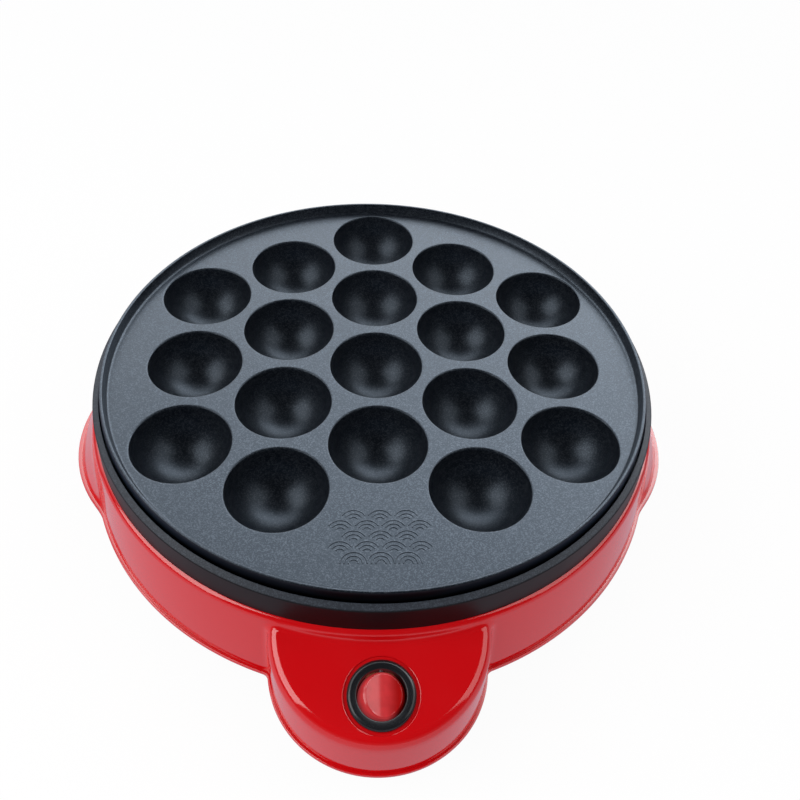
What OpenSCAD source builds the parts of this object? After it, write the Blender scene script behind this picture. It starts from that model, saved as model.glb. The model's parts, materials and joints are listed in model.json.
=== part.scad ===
// Electric takoyaki maker: a round cast plate of ball hollows on a shallow round body,
// with two side grips and a front lobe that carries a round rocker switch.
// Everything is drawn about the axis of the plate and then moved so that the
// origin is under the middle of the outline.

/* [Cooking plate] */
// Diameter of one ball hollow
ball_d = 40; // [34:0.5:42]
// Metal left between two hollows
hollow_gap = 7; // [6.6:0.1:9]
// Rounding at the mouth of a hollow
mouth_r = 1.8; // [1:0.1:2.4]
// Wall of a hollow
hollow_wall = 2.5; // [1.8:0.1:2.9]
// Thickness of the flat of the plate
plate_t = 4; // [3:0.1:5]
// Flat left between the outermost hollows and the foot of the rim
plate_margin = 3.3; // [2.8:0.1:6]
// Height of the rim above the flat
rim_h = 4.8; // [3:0.1:7]
// Width of the slope on the inside of the rim
rim_slope = 2.7; // [1:0.1:4]
// Width of the top of the rim
rim_top = 1; // [0.6:0.1:2]
// Lean of the outer wall of the rim
rim_lean = 0.6; // [0.2:0.1:1]
// Depth of the plate's edge below the flat
edge_depth = 5.4; // [5.1:0.1:7]

/* [Plate ring] */
// Gap between the plate and the ring
ring_gap = 0.5; // [0.3:0.1:1]
// Width of the ledge around the plate
ledge_w = 3.4; // [3:0.1:8]
// Drop of the ledge below the flat
ledge_drop = 0.4; // [0:0.1:2]
// Rounding of the ledge's outer edge
ledge_round = 1; // [0.5:0.1:1.6]
// Depth of the ring below the seat
ring_foot = 5.4; // [4.8:0.1:8]
// Wall of the ring
ring_wall = 2.5; // [1.6:0.1:2.8]
// Thickness of the sealing ring under the plate
gasket_t = 0.8; // [0.5:0.1:2]

/* [Housing] */
// Height of the red body
body_h = 39.2; // [36:0.2:50]
// Wall of the mouldings
wall = 2.5; // [2:0.1:3]
// Step from the ring out to the shoulder
shoulder_step = 1.5; // [1:0.1:4]
// Rounding of the shoulder
shoulder_r = 2.5; // [2:0.1:4]
// Lean of the wall, in degrees
draft = 6.5; // [2:0.1:10]
// How far the bottom lip stands out
lip_out = 1.2; // [0.6:0.1:2.5]
// Height of the bottom lip
lip_h = 2; // [1.2:0.1:4]
// How far the side grips stand out past the lip of the body
grip_out = 10.1; // [7:0.1:14]
// Half of the width of a side grip
grip_half = 48; // [36:1:56]
// How far the grips start below the shoulder
grip_drop = 2; // [0.5:0.1:8]

/* [Switch lobe] */
// Width of the front lobe
lobe_w = 84; // [70:1:96]
// How far the lobe stands out past the lip of the body
lobe_out = 32.5; // [30:0.1:40]
// Lean of the lobe's front wall, measured at its top
lobe_lean = 0.7; // [0.3:0.1:3]
// How much the lobe's sides spread towards their foot
lobe_flare = 0.9; // [0:0.1:1.5]
// Slope of the lobe's top face, in degrees
lobe_slope = 12; // [6:0.5:16]
// Drop from the shoulder of the body to the lobe's top, where they meet
lobe_drop = 6.4; // [5:0.1:10]
// Rounding of the lobe's top edge
lobe_round = 3.5; // [3.2:0.1:5]

/* [Base] */
// Height of the feet
foot_h = 10; // [6:0.5:16]
// Diameter of a foot
foot_d = 20; // [16:0.5:26]
// Distance of the feet from the axis
foot_r = 98; // [90:1:108]
// Height of the screw head's seat in a foot
foot_seat = 4; // [2:0.5:5]
// Depth of the base pan below the body
pan_depth = 9.4; // [8:0.1:16]
// Wall of the base pan
pan_wall = 2; // [1.6:0.1:3]
// How far the base pan is set back under the body
pan_inset = 6; // [5:0.1:12]

/* [Switch] */
// Outer diameter of the black bezel
bezel_d = 24.5; // [23.5:0.1:27]
// Diameter of the barrel that fits the round cut-out
barrel_d = 20; // [19.5:0.1:22]
// Wall of the barrel
barrel_wall = 1; // [0.8:0.1:1.2]
// Height of the bezel above the lobe
bezel_h = 1.5; // [0.8:0.1:2.5]
// Rocker travel between its two stops, in degrees
rocker_travel = 18; // [10:1:20]
// Depth of the rocker's pivot below the lobe
pivot_depth = 3.6; // [3.4:0.1:4]
// Radius of the hollow across the rocker's face
face_r = 19; // [16:1:30]
// Gap around the rocker
rocker_gap = 0.3; // [0.2:0.05:0.6]
// Diameter of the pivot pin
pin_d = 2; // [1.6:0.1:2.4]

/* [Heater] */
// Diameter of the heating tube
tube_d = 6.6; // [5.4:0.1:8]
// Distance from the clamp screws in to the heating tube
loop_inset = 8.8; // [8.3:0.1:14]
// Half of the loop's open angle, in degrees
loop_open = 14; // [10:1:24]
// Gap between the hollows and the tube
tube_gap = 0.7; // [0.4:0.1:3]
// Space between the tube and the reflector
reflector_gap = 4; // [3:0.1:8]
// Sheet thickness of the reflector and its clips
sheet_t = 0.8; // [0.6:0.1:1.2]

/* [Fasteners and cord inlet] */
// Diameter of the plate's long screws
plate_screw_d = 4; // [3:0.5:4]
// Diameter of the small screws
small_screw_d = 3; // [2:0.5:3]
// Free bore for the mains lead
cord_bore = 7; // [5:0.1:8]
// Height of the cord inlet above the body's bottom edge
inlet_h = 16; // [15.6:0.1:19]

/* [Hidden] */
$fn = 72;

// clearances
fit = 0.05;
slip = 0.2;
eps = 0.01;

// plate, in plan
ball_r = ball_d / 2;
pitch = ball_d + hollow_gap;
column = pitch * sqrt(3) / 2;
COLUMNS = [[-2, [-1, 0, 1]], [-1, [-1.5, -0.5, 0.5, 1.5]], [0, [-1, 0, 1, 2]],
    [1, [-1.5, -0.5, 0.5, 1.5]], [2, [-1, 0, 1]]];
hollow_r = ball_r + hollow_wall;
reach = 2 * pitch + ball_r;
rim_foot_r = reach + plate_margin;
rim_top_r = rim_foot_r + rim_slope;
plate_r = rim_top_r + rim_top + rim_lean;
edge_r = rim_foot_r + 0.1;

// ring, in plan
ring_in_r = plate_r + ring_gap;
ring_r = ring_in_r + ledge_w;
seat_r = rim_foot_r;

// heights, from the feet up
body_z = foot_h + pan_depth;
top_z = body_z + body_h;
seat_z = top_z + ring_foot;
flat_z = seat_z + gasket_t + edge_depth;
under_z = flat_z - plate_t;
ball_z = flat_z - mouth_r;
tube_z = ball_z - hollow_r - tube_gap - tube_d / 2;
dish_z = tube_z - tube_d / 2 - reflector_gap;
ledge_z = flat_z - ledge_drop;
ledge_fall = 0.8;

// body, in plan
shoulder_z = top_z - shoulder_r;
shoulder_wall_r = ring_r + shoulder_step;
shoulder_c = shoulder_wall_r - shoulder_r / cos(draft);
wall_r = shoulder_wall_r + (shoulder_z - body_z) * tan(draft);
lip_r = wall_r + lip_out;
lobe_r = lobe_w / 2;
lobe_tip = lip_r + lobe_out;
lobe_foot_r = lobe_r + lobe_flare;
lobe_y = -(lobe_tip - lip_out - lobe_foot_r);
axis_y = (lobe_tip - lip_r) / 2;
grip_reach = lip_r + grip_out;

// base pan
pan_r = wall_r - pan_inset;
pan_lobe_r = lobe_foot_r - pan_inset;
floor_z = foot_h + pan_wall;
spigot_gap = 0.3;
spigot_h = 6;

// switch, in its own frame: origin on the lobe's top at the bezel's centre
bezel_back = 19.1;
switch_y = -(shoulder_wall_r + bezel_back);
switch_z = shoulder_z - lobe_drop + shoulder_r - bezel_back * tan(lobe_slope);
barrel_r = barrel_d / 2;
opening_r = barrel_r - barrel_wall;
recess = 0.6;
recess_r = bezel_d / 2 + 1.5;
rocker_r = opening_r - rocker_gap;
valley = 3.9;
nose_len = 9;
nose_r = 2.2;
lever_gap = 0.3;
lever_t = 0.8;
lever_l = 12.4;
lever_w = 4;
lever_tilt = 6;
lever_z = -(pivot_depth + nose_len + 0.4 + lever_t + lever_gap);
barrel_depth = 0.9 - lever_z;
body_floor = 2;
blade_size = [4.8, 0.8, 9];
BLADES = [[-6, 0], [0, 5.2], [6, 0]];

// long screws, posts and bosses, in plan
LUGS = [60, 120, 240, 300];
CORNERS = [45, 135, 225, 315];
lug_r = 110 / 117.3 * rim_foot_r;
lug_d = plate_screw_d + 5;
lug_t = 3;
post_r = 3.2;
post_at = edge_r + post_r - 1;
// the base screws step aside where a foot comes near their heads
screw_room = foot_d / 2 + small_screw_d + 1;
post_turn = acos(min(1, (foot_r * foot_r + post_at * post_at - screw_room * screw_room)
    / (2 * foot_r * post_at)));
POSTS = [for (a = CORNERS) a - post_turn];
dish_r = edge_r - 2.2;
dish_h = 16;
head_h = 2.6;
small_head_h = 2;

// heater clamps stand where three hollows leave room
CLAMPS = [100.9, 220.9, 340.9];
clamp_at = pitch * sqrt(7 / 3);
clamp_boss_d = 7.6;
clamp_turn = 8;
loop_r = clamp_at - loop_inset;
leg_l = tube_z - dish_z + 8;

// thermostat, where the front hollow is left out
thermo_y = -2 * pitch;
thermo_d = 15;
thermo_h = 10;
strap_x = 13;
strap_boss = 5;

// cord inlet
inlet_z = body_z + inlet_h;
bush_r = cord_bore / 2 + 2.4;
bush_flange_r = bush_r + 2.2;
bush_flange_t = 1.4;
inlet_y = wall_r - inlet_h * tan(draft);
nut_t = 3;
bush_l = wall + nut_t + 4;

// terminal block and fuse
block = [32, 16, 13];
block_y = 62;
fuse_d = 4;
fuse_l = 14;
fuse_at = [30, -8];
earth_at = [-38, 34];

// wires run under the reflector; each list is a route in plan and height
wire_d = 2.2;
wire_sides = 8;
wire_z = floor_z + 6;

// ---------- helpers ----------

module about_axis() {
    translate([0, axis_y, 0]) children();
}

// the frame of the switch, on the sloping top of the lobe
module at_switch() {
    about_axis() translate([0, switch_y, switch_z]) rotate([lobe_slope, 0, 0]) children();
}

module at_angles(angles, r) {
    for (a = angles) rotate([0, 0, a]) translate([r, 0, 0]) children();
}

module at_hollows() {
    for (c = COLUMNS, y = c[1]) translate([c[0] * column, y * pitch, 0]) children();
}

module tube(r, bore, h) {
    difference() {
        cylinder(r = r, h = h);
        translate([0, 0, -eps]) cylinder(r = bore, h = h + 2 * eps);
    }
}

// a pan-head screw that points up, with its head below z = 0
module screw(d, len, head) {
    cylinder(d = d, h = len);
    difference() {
        translate([0, 0, -head]) cylinder(d = 2 * d, h = head);
        translate([0, 0, -head]) cross_slot(d);
    }
}

module cross_slot(d) {
    for (a = [0, 90]) rotate([0, 0, a]) cube([1.3 * d, 0.25 * d, 1.6], center = true);
}

module ring_profile(r_in, r_out, z, h) {
    translate([r_in, z]) square([r_out - r_in, h]);
}

// ---------- cooking plate ----------

// half of a bowl's outer ball, below the flat
module hollow_shell() {
    rotate_extrude() intersection() {
        circle(r = hollow_r);
        translate([0, -hollow_r]) square([hollow_r, hollow_r]);
    }
}

// what is taken out for one bowl, with its rounded mouth
module hollow_cut() {
    sphere(r = ball_r);
    rotate_extrude() difference() {
        square([ball_r + mouth_r, mouth_r + 1]);
        translate([ball_r + mouth_r, 0]) circle(r = mouth_r);
    }
}

module plate_disc() {
    rotate_extrude($fn = 144) polygon([
        [0, under_z], [edge_r, under_z], [edge_r, flat_z - edge_depth],
        [plate_r, flat_z - edge_depth], [plate_r, flat_z],
        [plate_r - rim_lean, flat_z + rim_h], [rim_top_r, flat_z + rim_h],
        [rim_top_r - rim_slope / 4, flat_z + rim_h * 0.92],
        [rim_foot_r + rim_slope / 3, flat_z + rim_h * 0.3], [rim_foot_r, flat_z], [0, flat_z]
    ]);
}

module plate_bosses() {
    at_angles(LUGS, lug_r) translate([0, 0, top_z]) cylinder(d = lug_d, h = under_z - top_z + 1);
    at_angles(CLAMPS, clamp_at) translate([0, 0, tube_z])
        cylinder(d = clamp_boss_d, h = under_z - tube_z + 1);
    for (s = [-1, 1]) translate([s * strap_x, thermo_y, under_z - strap_boss])
        cylinder(d = small_screw_d + 3, h = strap_boss + 1);
}

module plate_screw_holes() {
    at_angles(LUGS, lug_r) translate([0, 0, top_z - 1])
        cylinder(d = plate_screw_d + 2 * fit, h = under_z - top_z + 1);
    at_angles(CLAMPS, clamp_at) translate([0, 0, tube_z - 1])
        cylinder(d = small_screw_d + 2 * fit, h = 10);
    for (s = [-1, 1]) translate([s * strap_x, thermo_y, under_z - strap_boss - 1])
        cylinder(d = small_screw_d + 2 * fit, h = strap_boss + 1);
}

module cooking_plate() {
    color("#3a3e47") about_axis() difference() {
        union() {
            plate_disc();
            at_hollows() translate([0, 0, ball_z]) hollow_shell();
            plate_bosses();
        }
        at_hollows() translate([0, 0, ball_z]) hollow_cut();
        plate_screw_holes();
    }
}

module plate_gasket() {
    color("#5a5a5a") about_axis() rotate_extrude($fn = 144)
        ring_profile(edge_r + 0.5, plate_r - 0.4, seat_z, gasket_t);
}

// ---------- ring around the plate ----------

module plate_ring() {
    round_c = [ring_r - ledge_round, ledge_z - ledge_fall - ledge_round];
    edge_arc = [for (a = [0:15:90]) round_c + ledge_round * [cos(a), sin(a)]];
    color("#1d1e20") about_axis() rotate_extrude($fn = 144) {
        polygon([
            [seat_r, top_z], [seat_r + 2, top_z], [seat_r + 2, seat_z - ring_wall],
            [ring_r - ring_wall, seat_z - ring_wall], [ring_r - ring_wall, top_z],
            [ring_r, top_z], each edge_arc, [ring_in_r, ledge_z], [ring_in_r, seat_z],
            [seat_r, seat_z]
        ]);
    }
}

// ---------- red housing ----------

// outline of the body as a solid of revolution, grown inwards by g
module body_profile(g) {
    r = max(shoulder_r - g, 0.01);
    polygon([
        [0, body_z], [wall_r - g, body_z],
        for (a = [0:6]) [shoulder_c, shoulder_z]
            + r * [cos(draft + a * (90 - draft) / 6), sin(draft + a * (90 - draft) / 6)],
        [0, top_z - g]
    ]);
}

module body_solid(g) {
    rotate_extrude($fn = 144) body_profile(g);
}

// the lobe: a round-edged top on the slope, joined to a round foot
module lobe_solid(g) {
    tip = lobe_tip - lip_out - lobe_lean;
    edge = lobe_r - lobe_round;
    slope_y = edge + (lobe_round * (1 - sin(lobe_slope)) - tip - switch_y) / cos(lobe_slope);
    hull() {
        translate([0, switch_y, switch_z]) rotate([lobe_slope, 0, 0])
            translate([0, slope_y, -lobe_round]) rotate_extrude($fn = 96)
            translate([edge, 0]) circle(r = lobe_round - g, $fn = 24);
        translate([0, lobe_y, body_z]) cylinder(r = lobe_foot_r - g, h = 0.1, $fn = 96);
    }
}

// how far a shallow arc with the given tip stands out at a distance y from its middle
function arc_x(tip, root, half, y) = let (sag = tip - root, r = (half * half + sag * sag) / (2 * sag))
    tip - r + sqrt(r * r - y * y);

function grip_root(r) = sqrt(r * r - grip_half * grip_half) - 1;

// plan of one grip at the bottom of the body
module grip_plan(tip, back, g) {
    n = 36;
    polygon([
        for (i = [0:n]) let (y = grip_half * (2 * i / n - 1))
            [arc_x(tip, grip_root(wall_r), grip_half, y) - g, y],
        [grip_root(wall_r) - back, grip_half], [grip_root(wall_r) - back, -grip_half]
    ]);
}

// one grip: an arc at the foot that melts into the wall below the shoulder
module grip_solid(g) {
    n = 36;
    top = shoulder_z - grip_drop - g;
    back = grip_root(wall_r) - 8;
    tip = grip_reach - lip_out;
    top_root = grip_root(shoulder_wall_r);
    points = [for (i = [0:n]) let (y = grip_half * (2 * i / n - 1)) each [
        [back, y, body_z], [arc_x(tip, grip_root(wall_r), grip_half, y) - g, y, body_z],
        [arc_x(shoulder_wall_r - 0.3, top_root, grip_half, y) - g, y, top], [back, y, top]]];
    sides = [for (i = [0:n - 1], k = [0:3]) let (a = 4 * i + k, b = 4 * i + (k + 1) % 4)
        each [[a, b, b + 4], [a, b + 4, a + 4]]];
    polyhedron(points, concat([[3, 2, 1, 0], [4 * n, 4 * n + 1, 4 * n + 2, 4 * n + 3]], sides),
        convexity = 4);
}

module grips() {
    for (s = [0, 180]) rotate([0, 0, s]) difference() {
        grip_solid(0);
        translate([0, 0, -eps]) grip_solid(wall);
        body_solid(1);
    }
}

// the thin lip that runs round the bottom of the body, lobe and grips
module bottom_lip() {
    translate([0, 0, body_z]) linear_extrude(lip_h) difference() {
        union() {
            circle(r = lip_r, $fn = 144);
            translate([0, lobe_y]) circle(r = lobe_foot_r + lip_out, $fn = 96);
            for (s = [0, 180]) rotate(s) grip_plan(grip_reach, 4, 0);
        }
        circle(r = wall_r - 1, $fn = 144);
        translate([0, lobe_y]) circle(r = lobe_foot_r - 1, $fn = 96);
        for (s = [0, 180]) rotate(s) grip_plan(grip_reach - lip_out, 6, 1);
    }
}

module housing_lugs() {
    at_angles(LUGS, lug_r) translate([0, 0, top_z - lug_t]) {
        cylinder(d = lug_d + 2, h = lug_t);
        translate([0, -lug_d / 2 - 1, 0]) cube([edge_r - lug_r + 2, lug_d + 2, lug_t]);
    }
}

module housing_posts() {
    rib_z = body_z + spigot_h + 1 - floor_z;
    at_angles(POSTS, post_at) translate([0, 0, floor_z]) {
        tube(post_r, small_screw_d / 2 + fit, top_z - wall - floor_z + 1);
        translate([post_r - 0.6, -1, rib_z]) cube([wall + 5, 2, top_z - wall - floor_z - rib_z]);
    }
}

module housing_bores() {
    translate([0, 0, body_z]) cylinder(r = seat_r, h = 2 * body_h, $fn = 144);
}

module upper_housing() {
    color("#b80e16") about_axis() difference() {
        union() {
            difference() {
                union() {
                    body_solid(0);
                    lobe_solid(0);
                }
                translate([0, 0, -eps]) {
                    body_solid(wall);
                    lobe_solid(wall);
                }
                housing_bores();
            }
            grips();
            bottom_lip();
            housing_lugs();
            intersection() {
                housing_posts();
                body_solid(1);
            }
            translate([0, inlet_y - wall - 4, inlet_z]) rotate([-90, 0, 0])
                cylinder(r = bush_flange_r + 0.6, h = wall + 3.6);
        }
        at_angles(LUGS, lug_r) translate([0, 0, top_z - lug_t - 1])
            cylinder(d = plate_screw_d + 2 * slip, h = lug_t + 2);
        translate([0, inlet_y - wall - 5, inlet_z]) rotate([-90, 0, 0])
            cylinder(r = bush_r + fit, h = wall + 10);
        translate([0, inlet_y - 0.4, inlet_z]) rotate([-90, 0, 0])
            cylinder(r = bush_flange_r + slip, h = 4);
        translate([0, switch_y, switch_z]) rotate([lobe_slope, 0, 0]) {
            translate([0, 0, -wall - 6]) cylinder(r = barrel_r + 2 * fit, h = wall + 8);
            translate([0, 0, -recess]) cylinder(r = recess_r, h = 4);
        }
    }
}

// ---------- base ----------

module pan_plan(g) {
    circle(r = pan_r + g, $fn = 144);
    translate([0, lobe_y]) circle(r = pan_lobe_r + g, $fn = 96);
}

module spigot_plan(g) {
    circle(r = wall_r - wall - spigot_gap - spigot_h * tan(draft) + g, $fn = 144);
    translate([0, lobe_y + 0.5]) circle(r = lobe_foot_r - wall - spigot_gap - 0.6 + g, $fn = 96);
}

module pan_shell() {
    translate([0, 0, foot_h]) linear_extrude(pan_wall) pan_plan(0);
    translate([0, 0, foot_h]) linear_extrude(pan_depth) difference() {
        pan_plan(0);
        pan_plan(-pan_wall);
    }
    // the flange that the red body stands on, and the rim that centres it
    translate([0, 0, body_z - pan_wall]) linear_extrude(pan_wall) difference() {
        pan_plan(pan_inset - 0.8);
        pan_plan(-pan_wall);
    }
    translate([0, 0, body_z - 1]) linear_extrude(spigot_h + 1) difference() {
        spigot_plan(0);
        spigot_plan(-1.6);
    }
}

module base_pan() {
    color("#242528") about_axis() difference() {
        union() {
            pan_shell();
            at_angles(CORNERS, foot_r) translate([0, 0, foot_h]) cylinder(d = 8, h = pan_wall + 6);
        }
        at_angles(CORNERS, foot_r) translate([0, 0, foot_h - 1])
            cylinder(d = small_screw_d + 2 * fit, h = pan_wall + 8);
        at_angles(POSTS, post_at) translate([0, 0, foot_h - 1])
            cylinder(d = small_screw_d + 2 * slip, h = pan_wall + 2);
        for (s = [-1, 1]) translate([s * block[0] / 6, block_y, foot_h + 0.2])
            cylinder(d = small_screw_d + 2 * fit, h = pan_wall);
    }
}

module feet() {
    color("#161616") about_axis() at_angles(CORNERS, foot_r) difference() {
        cylinder(r1 = foot_d / 2 - 1, r2 = foot_d / 2, h = foot_h);
        translate([0, 0, -1]) cylinder(d = 2 * small_screw_d + 2, h = foot_seat + 1);
        cylinder(d = small_screw_d + 2 * slip, h = foot_h + 1);
    }
}

module foot_screws() {
    color("silver") about_axis() at_angles(CORNERS, foot_r) translate([0, 0, foot_seat])
        screw(small_screw_d, floor_z + 5 - foot_seat, small_head_h);
}

module base_screws() {
    color("silver") about_axis() at_angles(POSTS, post_at) translate([0, 0, foot_h])
        screw(small_screw_d, 14, small_head_h);
}

// ---------- heater ----------

module reflector_holes() {
    at_angles(LUGS, lug_r) cylinder(d = plate_screw_d + 2 * slip, h = 4, center = true);
    at_angles([270 - loop_open, 270 + loop_open], loop_r)
        cylinder(r = tube_d / 2 + 1.3, h = 4, center = true);
    translate([0, thermo_y]) cylinder(r = 6, h = 4, center = true);
    translate([fuse_at[0], fuse_at[1] + 7]) cylinder(d = small_screw_d + 2 * fit, h = 4, center = true);
    translate(earth_at) cylinder(d = small_screw_d + 2 * fit, h = 4, center = true);
}

module reflector() {
    color("#b9bcc0") about_axis() translate([0, 0, dish_z]) difference() {
        rotate_extrude($fn = 144) {
            ring_profile(0, dish_r, -sheet_t, sheet_t);
            ring_profile(dish_r - sheet_t, dish_r, -sheet_t, dish_h);
        }
        reflector_holes();
    }
}

module reflector_spacers() {
    color("#c8cacc") about_axis() at_angles(LUGS, lug_r) translate([0, 0, dish_z])
        tube(plate_screw_d / 2 + 1.8, plate_screw_d / 2 + slip, top_z - lug_t - dish_z);
}

module plate_screws() {
    color("silver") about_axis() at_angles(LUGS, lug_r) translate([0, 0, dish_z - sheet_t])
        screw(plate_screw_d, under_z - dish_z + sheet_t - 1.5, head_h);
}

module heating_element() {
    color("#6f6a64") about_axis() translate([0, 0, tube_z]) {
        rotate([0, 0, 270 + loop_open]) rotate_extrude(angle = 360 - 2 * loop_open, $fn = 144)
            translate([loop_r, 0]) circle(d = tube_d, $fn = 32);
        at_angles([270 - loop_open, 270 + loop_open], loop_r) {
            sphere(d = tube_d, $fn = 32);
            translate([0, 0, -leg_l]) cylinder(d = tube_d, h = leg_l, $fn = 32);
            translate([0, 0, -leg_l - 6]) cylinder(d = 2.4, h = 7, $fn = 24);
        }
    }
}

module element_bushes() {
    bore = tube_d / 2 + fit;
    color("#e8e4da") about_axis() at_angles([270 - loop_open, 270 + loop_open], loop_r) {
        translate([0, 0, dish_z]) tube(bore + 2.6, bore, 1.5);
        translate([0, 0, dish_z - sheet_t - 1]) tube(bore + 1.2, bore, sheet_t + 2);
        translate([0, 0, dish_z - sheet_t - 1.5]) tube(bore + 2.6, bore, 1.5);
    }
}

module clamp_profile() {
    r = tube_d / 2 + fit;
    difference() {
        circle(r = r + sheet_t, $fn = 48);
        circle(r = r, $fn = 48);
        translate([-2 * r, 0]) square([4 * r, 2 * r]);
    }
    translate([-r - sheet_t, -eps]) square([sheet_t, 2]);
    translate([r, -sheet_t]) square([loop_inset - r + 4, sheet_t]);
}

module element_clamps() {
    color("#c8cacc") about_axis() translate([0, 0, tube_z]) difference() {
        for (a = CLAMPS) rotate([0, 0, a - clamp_turn / 2])
            rotate_extrude(angle = clamp_turn) translate([loop_r, 0]) clamp_profile();
        at_angles(CLAMPS, clamp_at) cylinder(d = small_screw_d + 2 * slip, h = 4, center = true);
    }
}

module clamp_screws() {
    color("silver") about_axis() at_angles(CLAMPS, clamp_at) translate([0, 0, tube_z - sheet_t])
        screw(small_screw_d, 8, small_head_h);
}

// ---------- thermostat, fuse and terminals ----------

module thermostat() {
    color("#d9d2c2") about_axis() translate([0, thermo_y, under_z]) {
        translate([0, 0, -strap_boss]) cylinder(d = thermo_d, h = strap_boss);
        translate([0, 0, -thermo_h]) cylinder(d = thermo_d - 1.4, h = thermo_h);
        for (s = [-1, 1]) translate([s * 2.5 - 0.4, -2.5, -thermo_h - 7]) cube([0.8, 5, 8]);
    }
}

module thermostat_strap() {
    color("#c8cacc") about_axis() translate([0, thermo_y, under_z - strap_boss - sheet_t])
        difference() {
            union() {
                translate([-strap_x - 4, -5, 0]) cube([2 * strap_x + 8, 10, sheet_t]);
                cylinder(r = thermo_d / 2 + 2.5, h = sheet_t);
            }
            translate([0, 0, -1]) cylinder(d = thermo_d - 1.4 + 2 * fit, h = sheet_t + 2);
            for (s = [-1, 1]) translate([s * strap_x, 0, -1])
                cylinder(d = small_screw_d + 2 * slip, h = sheet_t + 2);
        }
}

module strap_screws() {
    color("silver") about_axis() for (s = [-1, 1])
        translate([s * strap_x, thermo_y, under_z - strap_boss - sheet_t])
            screw(small_screw_d, strap_boss - 0.5, small_head_h);
}

module at_fuse() {
    drop = sheet_t + fuse_d / 2 + fit + sheet_t;
    about_axis() translate([fuse_at[0], fuse_at[1], dish_z - drop]) children();
}

module thermal_fuse() {
    color("#e9e2c8") at_fuse() rotate([0, 90, 0]) {
        translate([0, 0, -fuse_l / 2]) cylinder(d = fuse_d, h = fuse_l, $fn = 32);
        translate([0, 0, -fuse_l / 2 - 4]) cylinder(d = 1.2, h = fuse_l + 8, $fn = 24);
    }
}

module fuse_clip() {
    r = fuse_d / 2 + fit;
    color("#c8cacc") at_fuse() difference() {
        rotate([90, 0, 90]) linear_extrude(6, center = true) {
            difference() {
                circle(r = r + sheet_t, $fn = 48);
                circle(r = r, $fn = 48);
            }
            translate([0, r]) square([11, sheet_t]);
        }
        translate([0, 7, r - 1]) cylinder(d = small_screw_d + 2 * slip, h = 4);
    }
}

module fuse_screw() {
    color("silver") at_fuse() translate([0, 7, fuse_d / 2 + fit])
        screw(small_screw_d, 5, small_head_h);
}

module earth_tag() {
    color("#caa64a") about_axis() translate([earth_at[0], earth_at[1], dish_z - 2 * sheet_t]) {
        difference() {
            union() {
                cylinder(r = 4, h = sheet_t);
                translate([0, -1.8, 0]) cube([12, 3.6, sheet_t]);
            }
            translate([0, 0, -1]) cylinder(d = small_screw_d + 2 * slip, h = sheet_t + 2);
        }
    }
}

module earth_screw() {
    color("silver") about_axis() translate([earth_at[0], earth_at[1], dish_z - 2 * sheet_t])
        screw(small_screw_d, 5, small_head_h);
}

module terminal_block() {
    color("#efece2") about_axis() translate([0, block_y, floor_z]) difference() {
        translate([-block[0] / 2, -block[1] / 2, 0]) cube(block);
        for (i = [-1, 0, 1]) translate([i * block[0] / 3, 0, 0]) {
            translate([0, block[1], 5]) rotate([90, 0, 0]) cylinder(r = 1.8, h = 2 * block[1]);
            translate([0, 0, 5]) cylinder(r = 2.6, h = block[2]);
        }
        for (s = [-1, 1]) translate([s * block[0] / 6, 0, -1])
            cylinder(d = small_screw_d + 2 * slip, h = block[2] + 2);
    }
}

module block_screws() {
    color("silver") about_axis() translate([0, block_y, floor_z]) {
        for (i = [-1, 0, 1]) translate([i * block[0] / 3, 0, 7]) difference() {
            cylinder(r = 2.4, h = 4);
            translate([0, 0, 4]) cross_slot(2.4);
        }
        for (s = [-1, 1]) translate([s * block[0] / 6, 0, block[2]]) rotate([180, 0, 0])
            screw(small_screw_d, block[2] + pan_wall - 0.4, small_head_h);
    }
}

// ---------- wires ----------

function bend(a, b, c, d, t) = 0.5 * (2 * b + (c - a) * t + (2 * a - 5 * b + 4 * c - d) * t * t
    + (3 * b - a - 3 * c + d) * t * t * t);

function smooth(r, n) = [for (i = [0:len(r) - 2], k = [0:n - 1])
    bend(r[max(i - 1, 0)], r[i], r[i + 1], r[min(i + 2, len(r) - 1)], k / n), r[len(r) - 1]];

function unit(v) = v / norm(v);

function tangent(p, i) = unit(p[min(i + 1, len(p) - 1)] - p[max(i - 1, 0)]);

function ring_at(p, i, r) = let (t = tangent(p, i), u = unit(cross(t, [0.62, -0.35, 0.7])),
    v = cross(t, u)) [for (k = [0:wire_sides - 1]) p[i] + r * (u * cos(k * 360 / wire_sides)
    + v * sin(k * 360 / wire_sides))];

module wire(route) {
    p = smooth(route, 3);
    n = wire_sides;
    points = [for (i = [0:len(p) - 1], q = ring_at(p, i, wire_d / 2)) q];
    sides = [for (i = [0:len(p) - 2], k = [0:n - 1])
        [i * n + k, (i + 1) * n + k, (i + 1) * n + (k + 1) % n, i * n + (k + 1) % n]];
    start = [for (k = [0:n - 1]) k];
    end = [for (k = [n - 1:-1:0]) (len(p) - 1) * n + k];
    polyhedron(points, concat([start, end], sides), convexity = 6);
}

// where a switch blade ends, seen from the plate's axis
function blade_end(i) = let (b = BLADES[i], h = -barrel_depth - body_floor - blade_size[2] - 0.4)
    [b[0], switch_y + b[1] * cos(lobe_slope) - h * sin(lobe_slope),
    switch_z + b[1] * sin(lobe_slope) + h * cos(lobe_slope)];

function pole(i) = [i * block[0] / 3, block_y - block[1] / 2 + 2, floor_z + 5];

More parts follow.
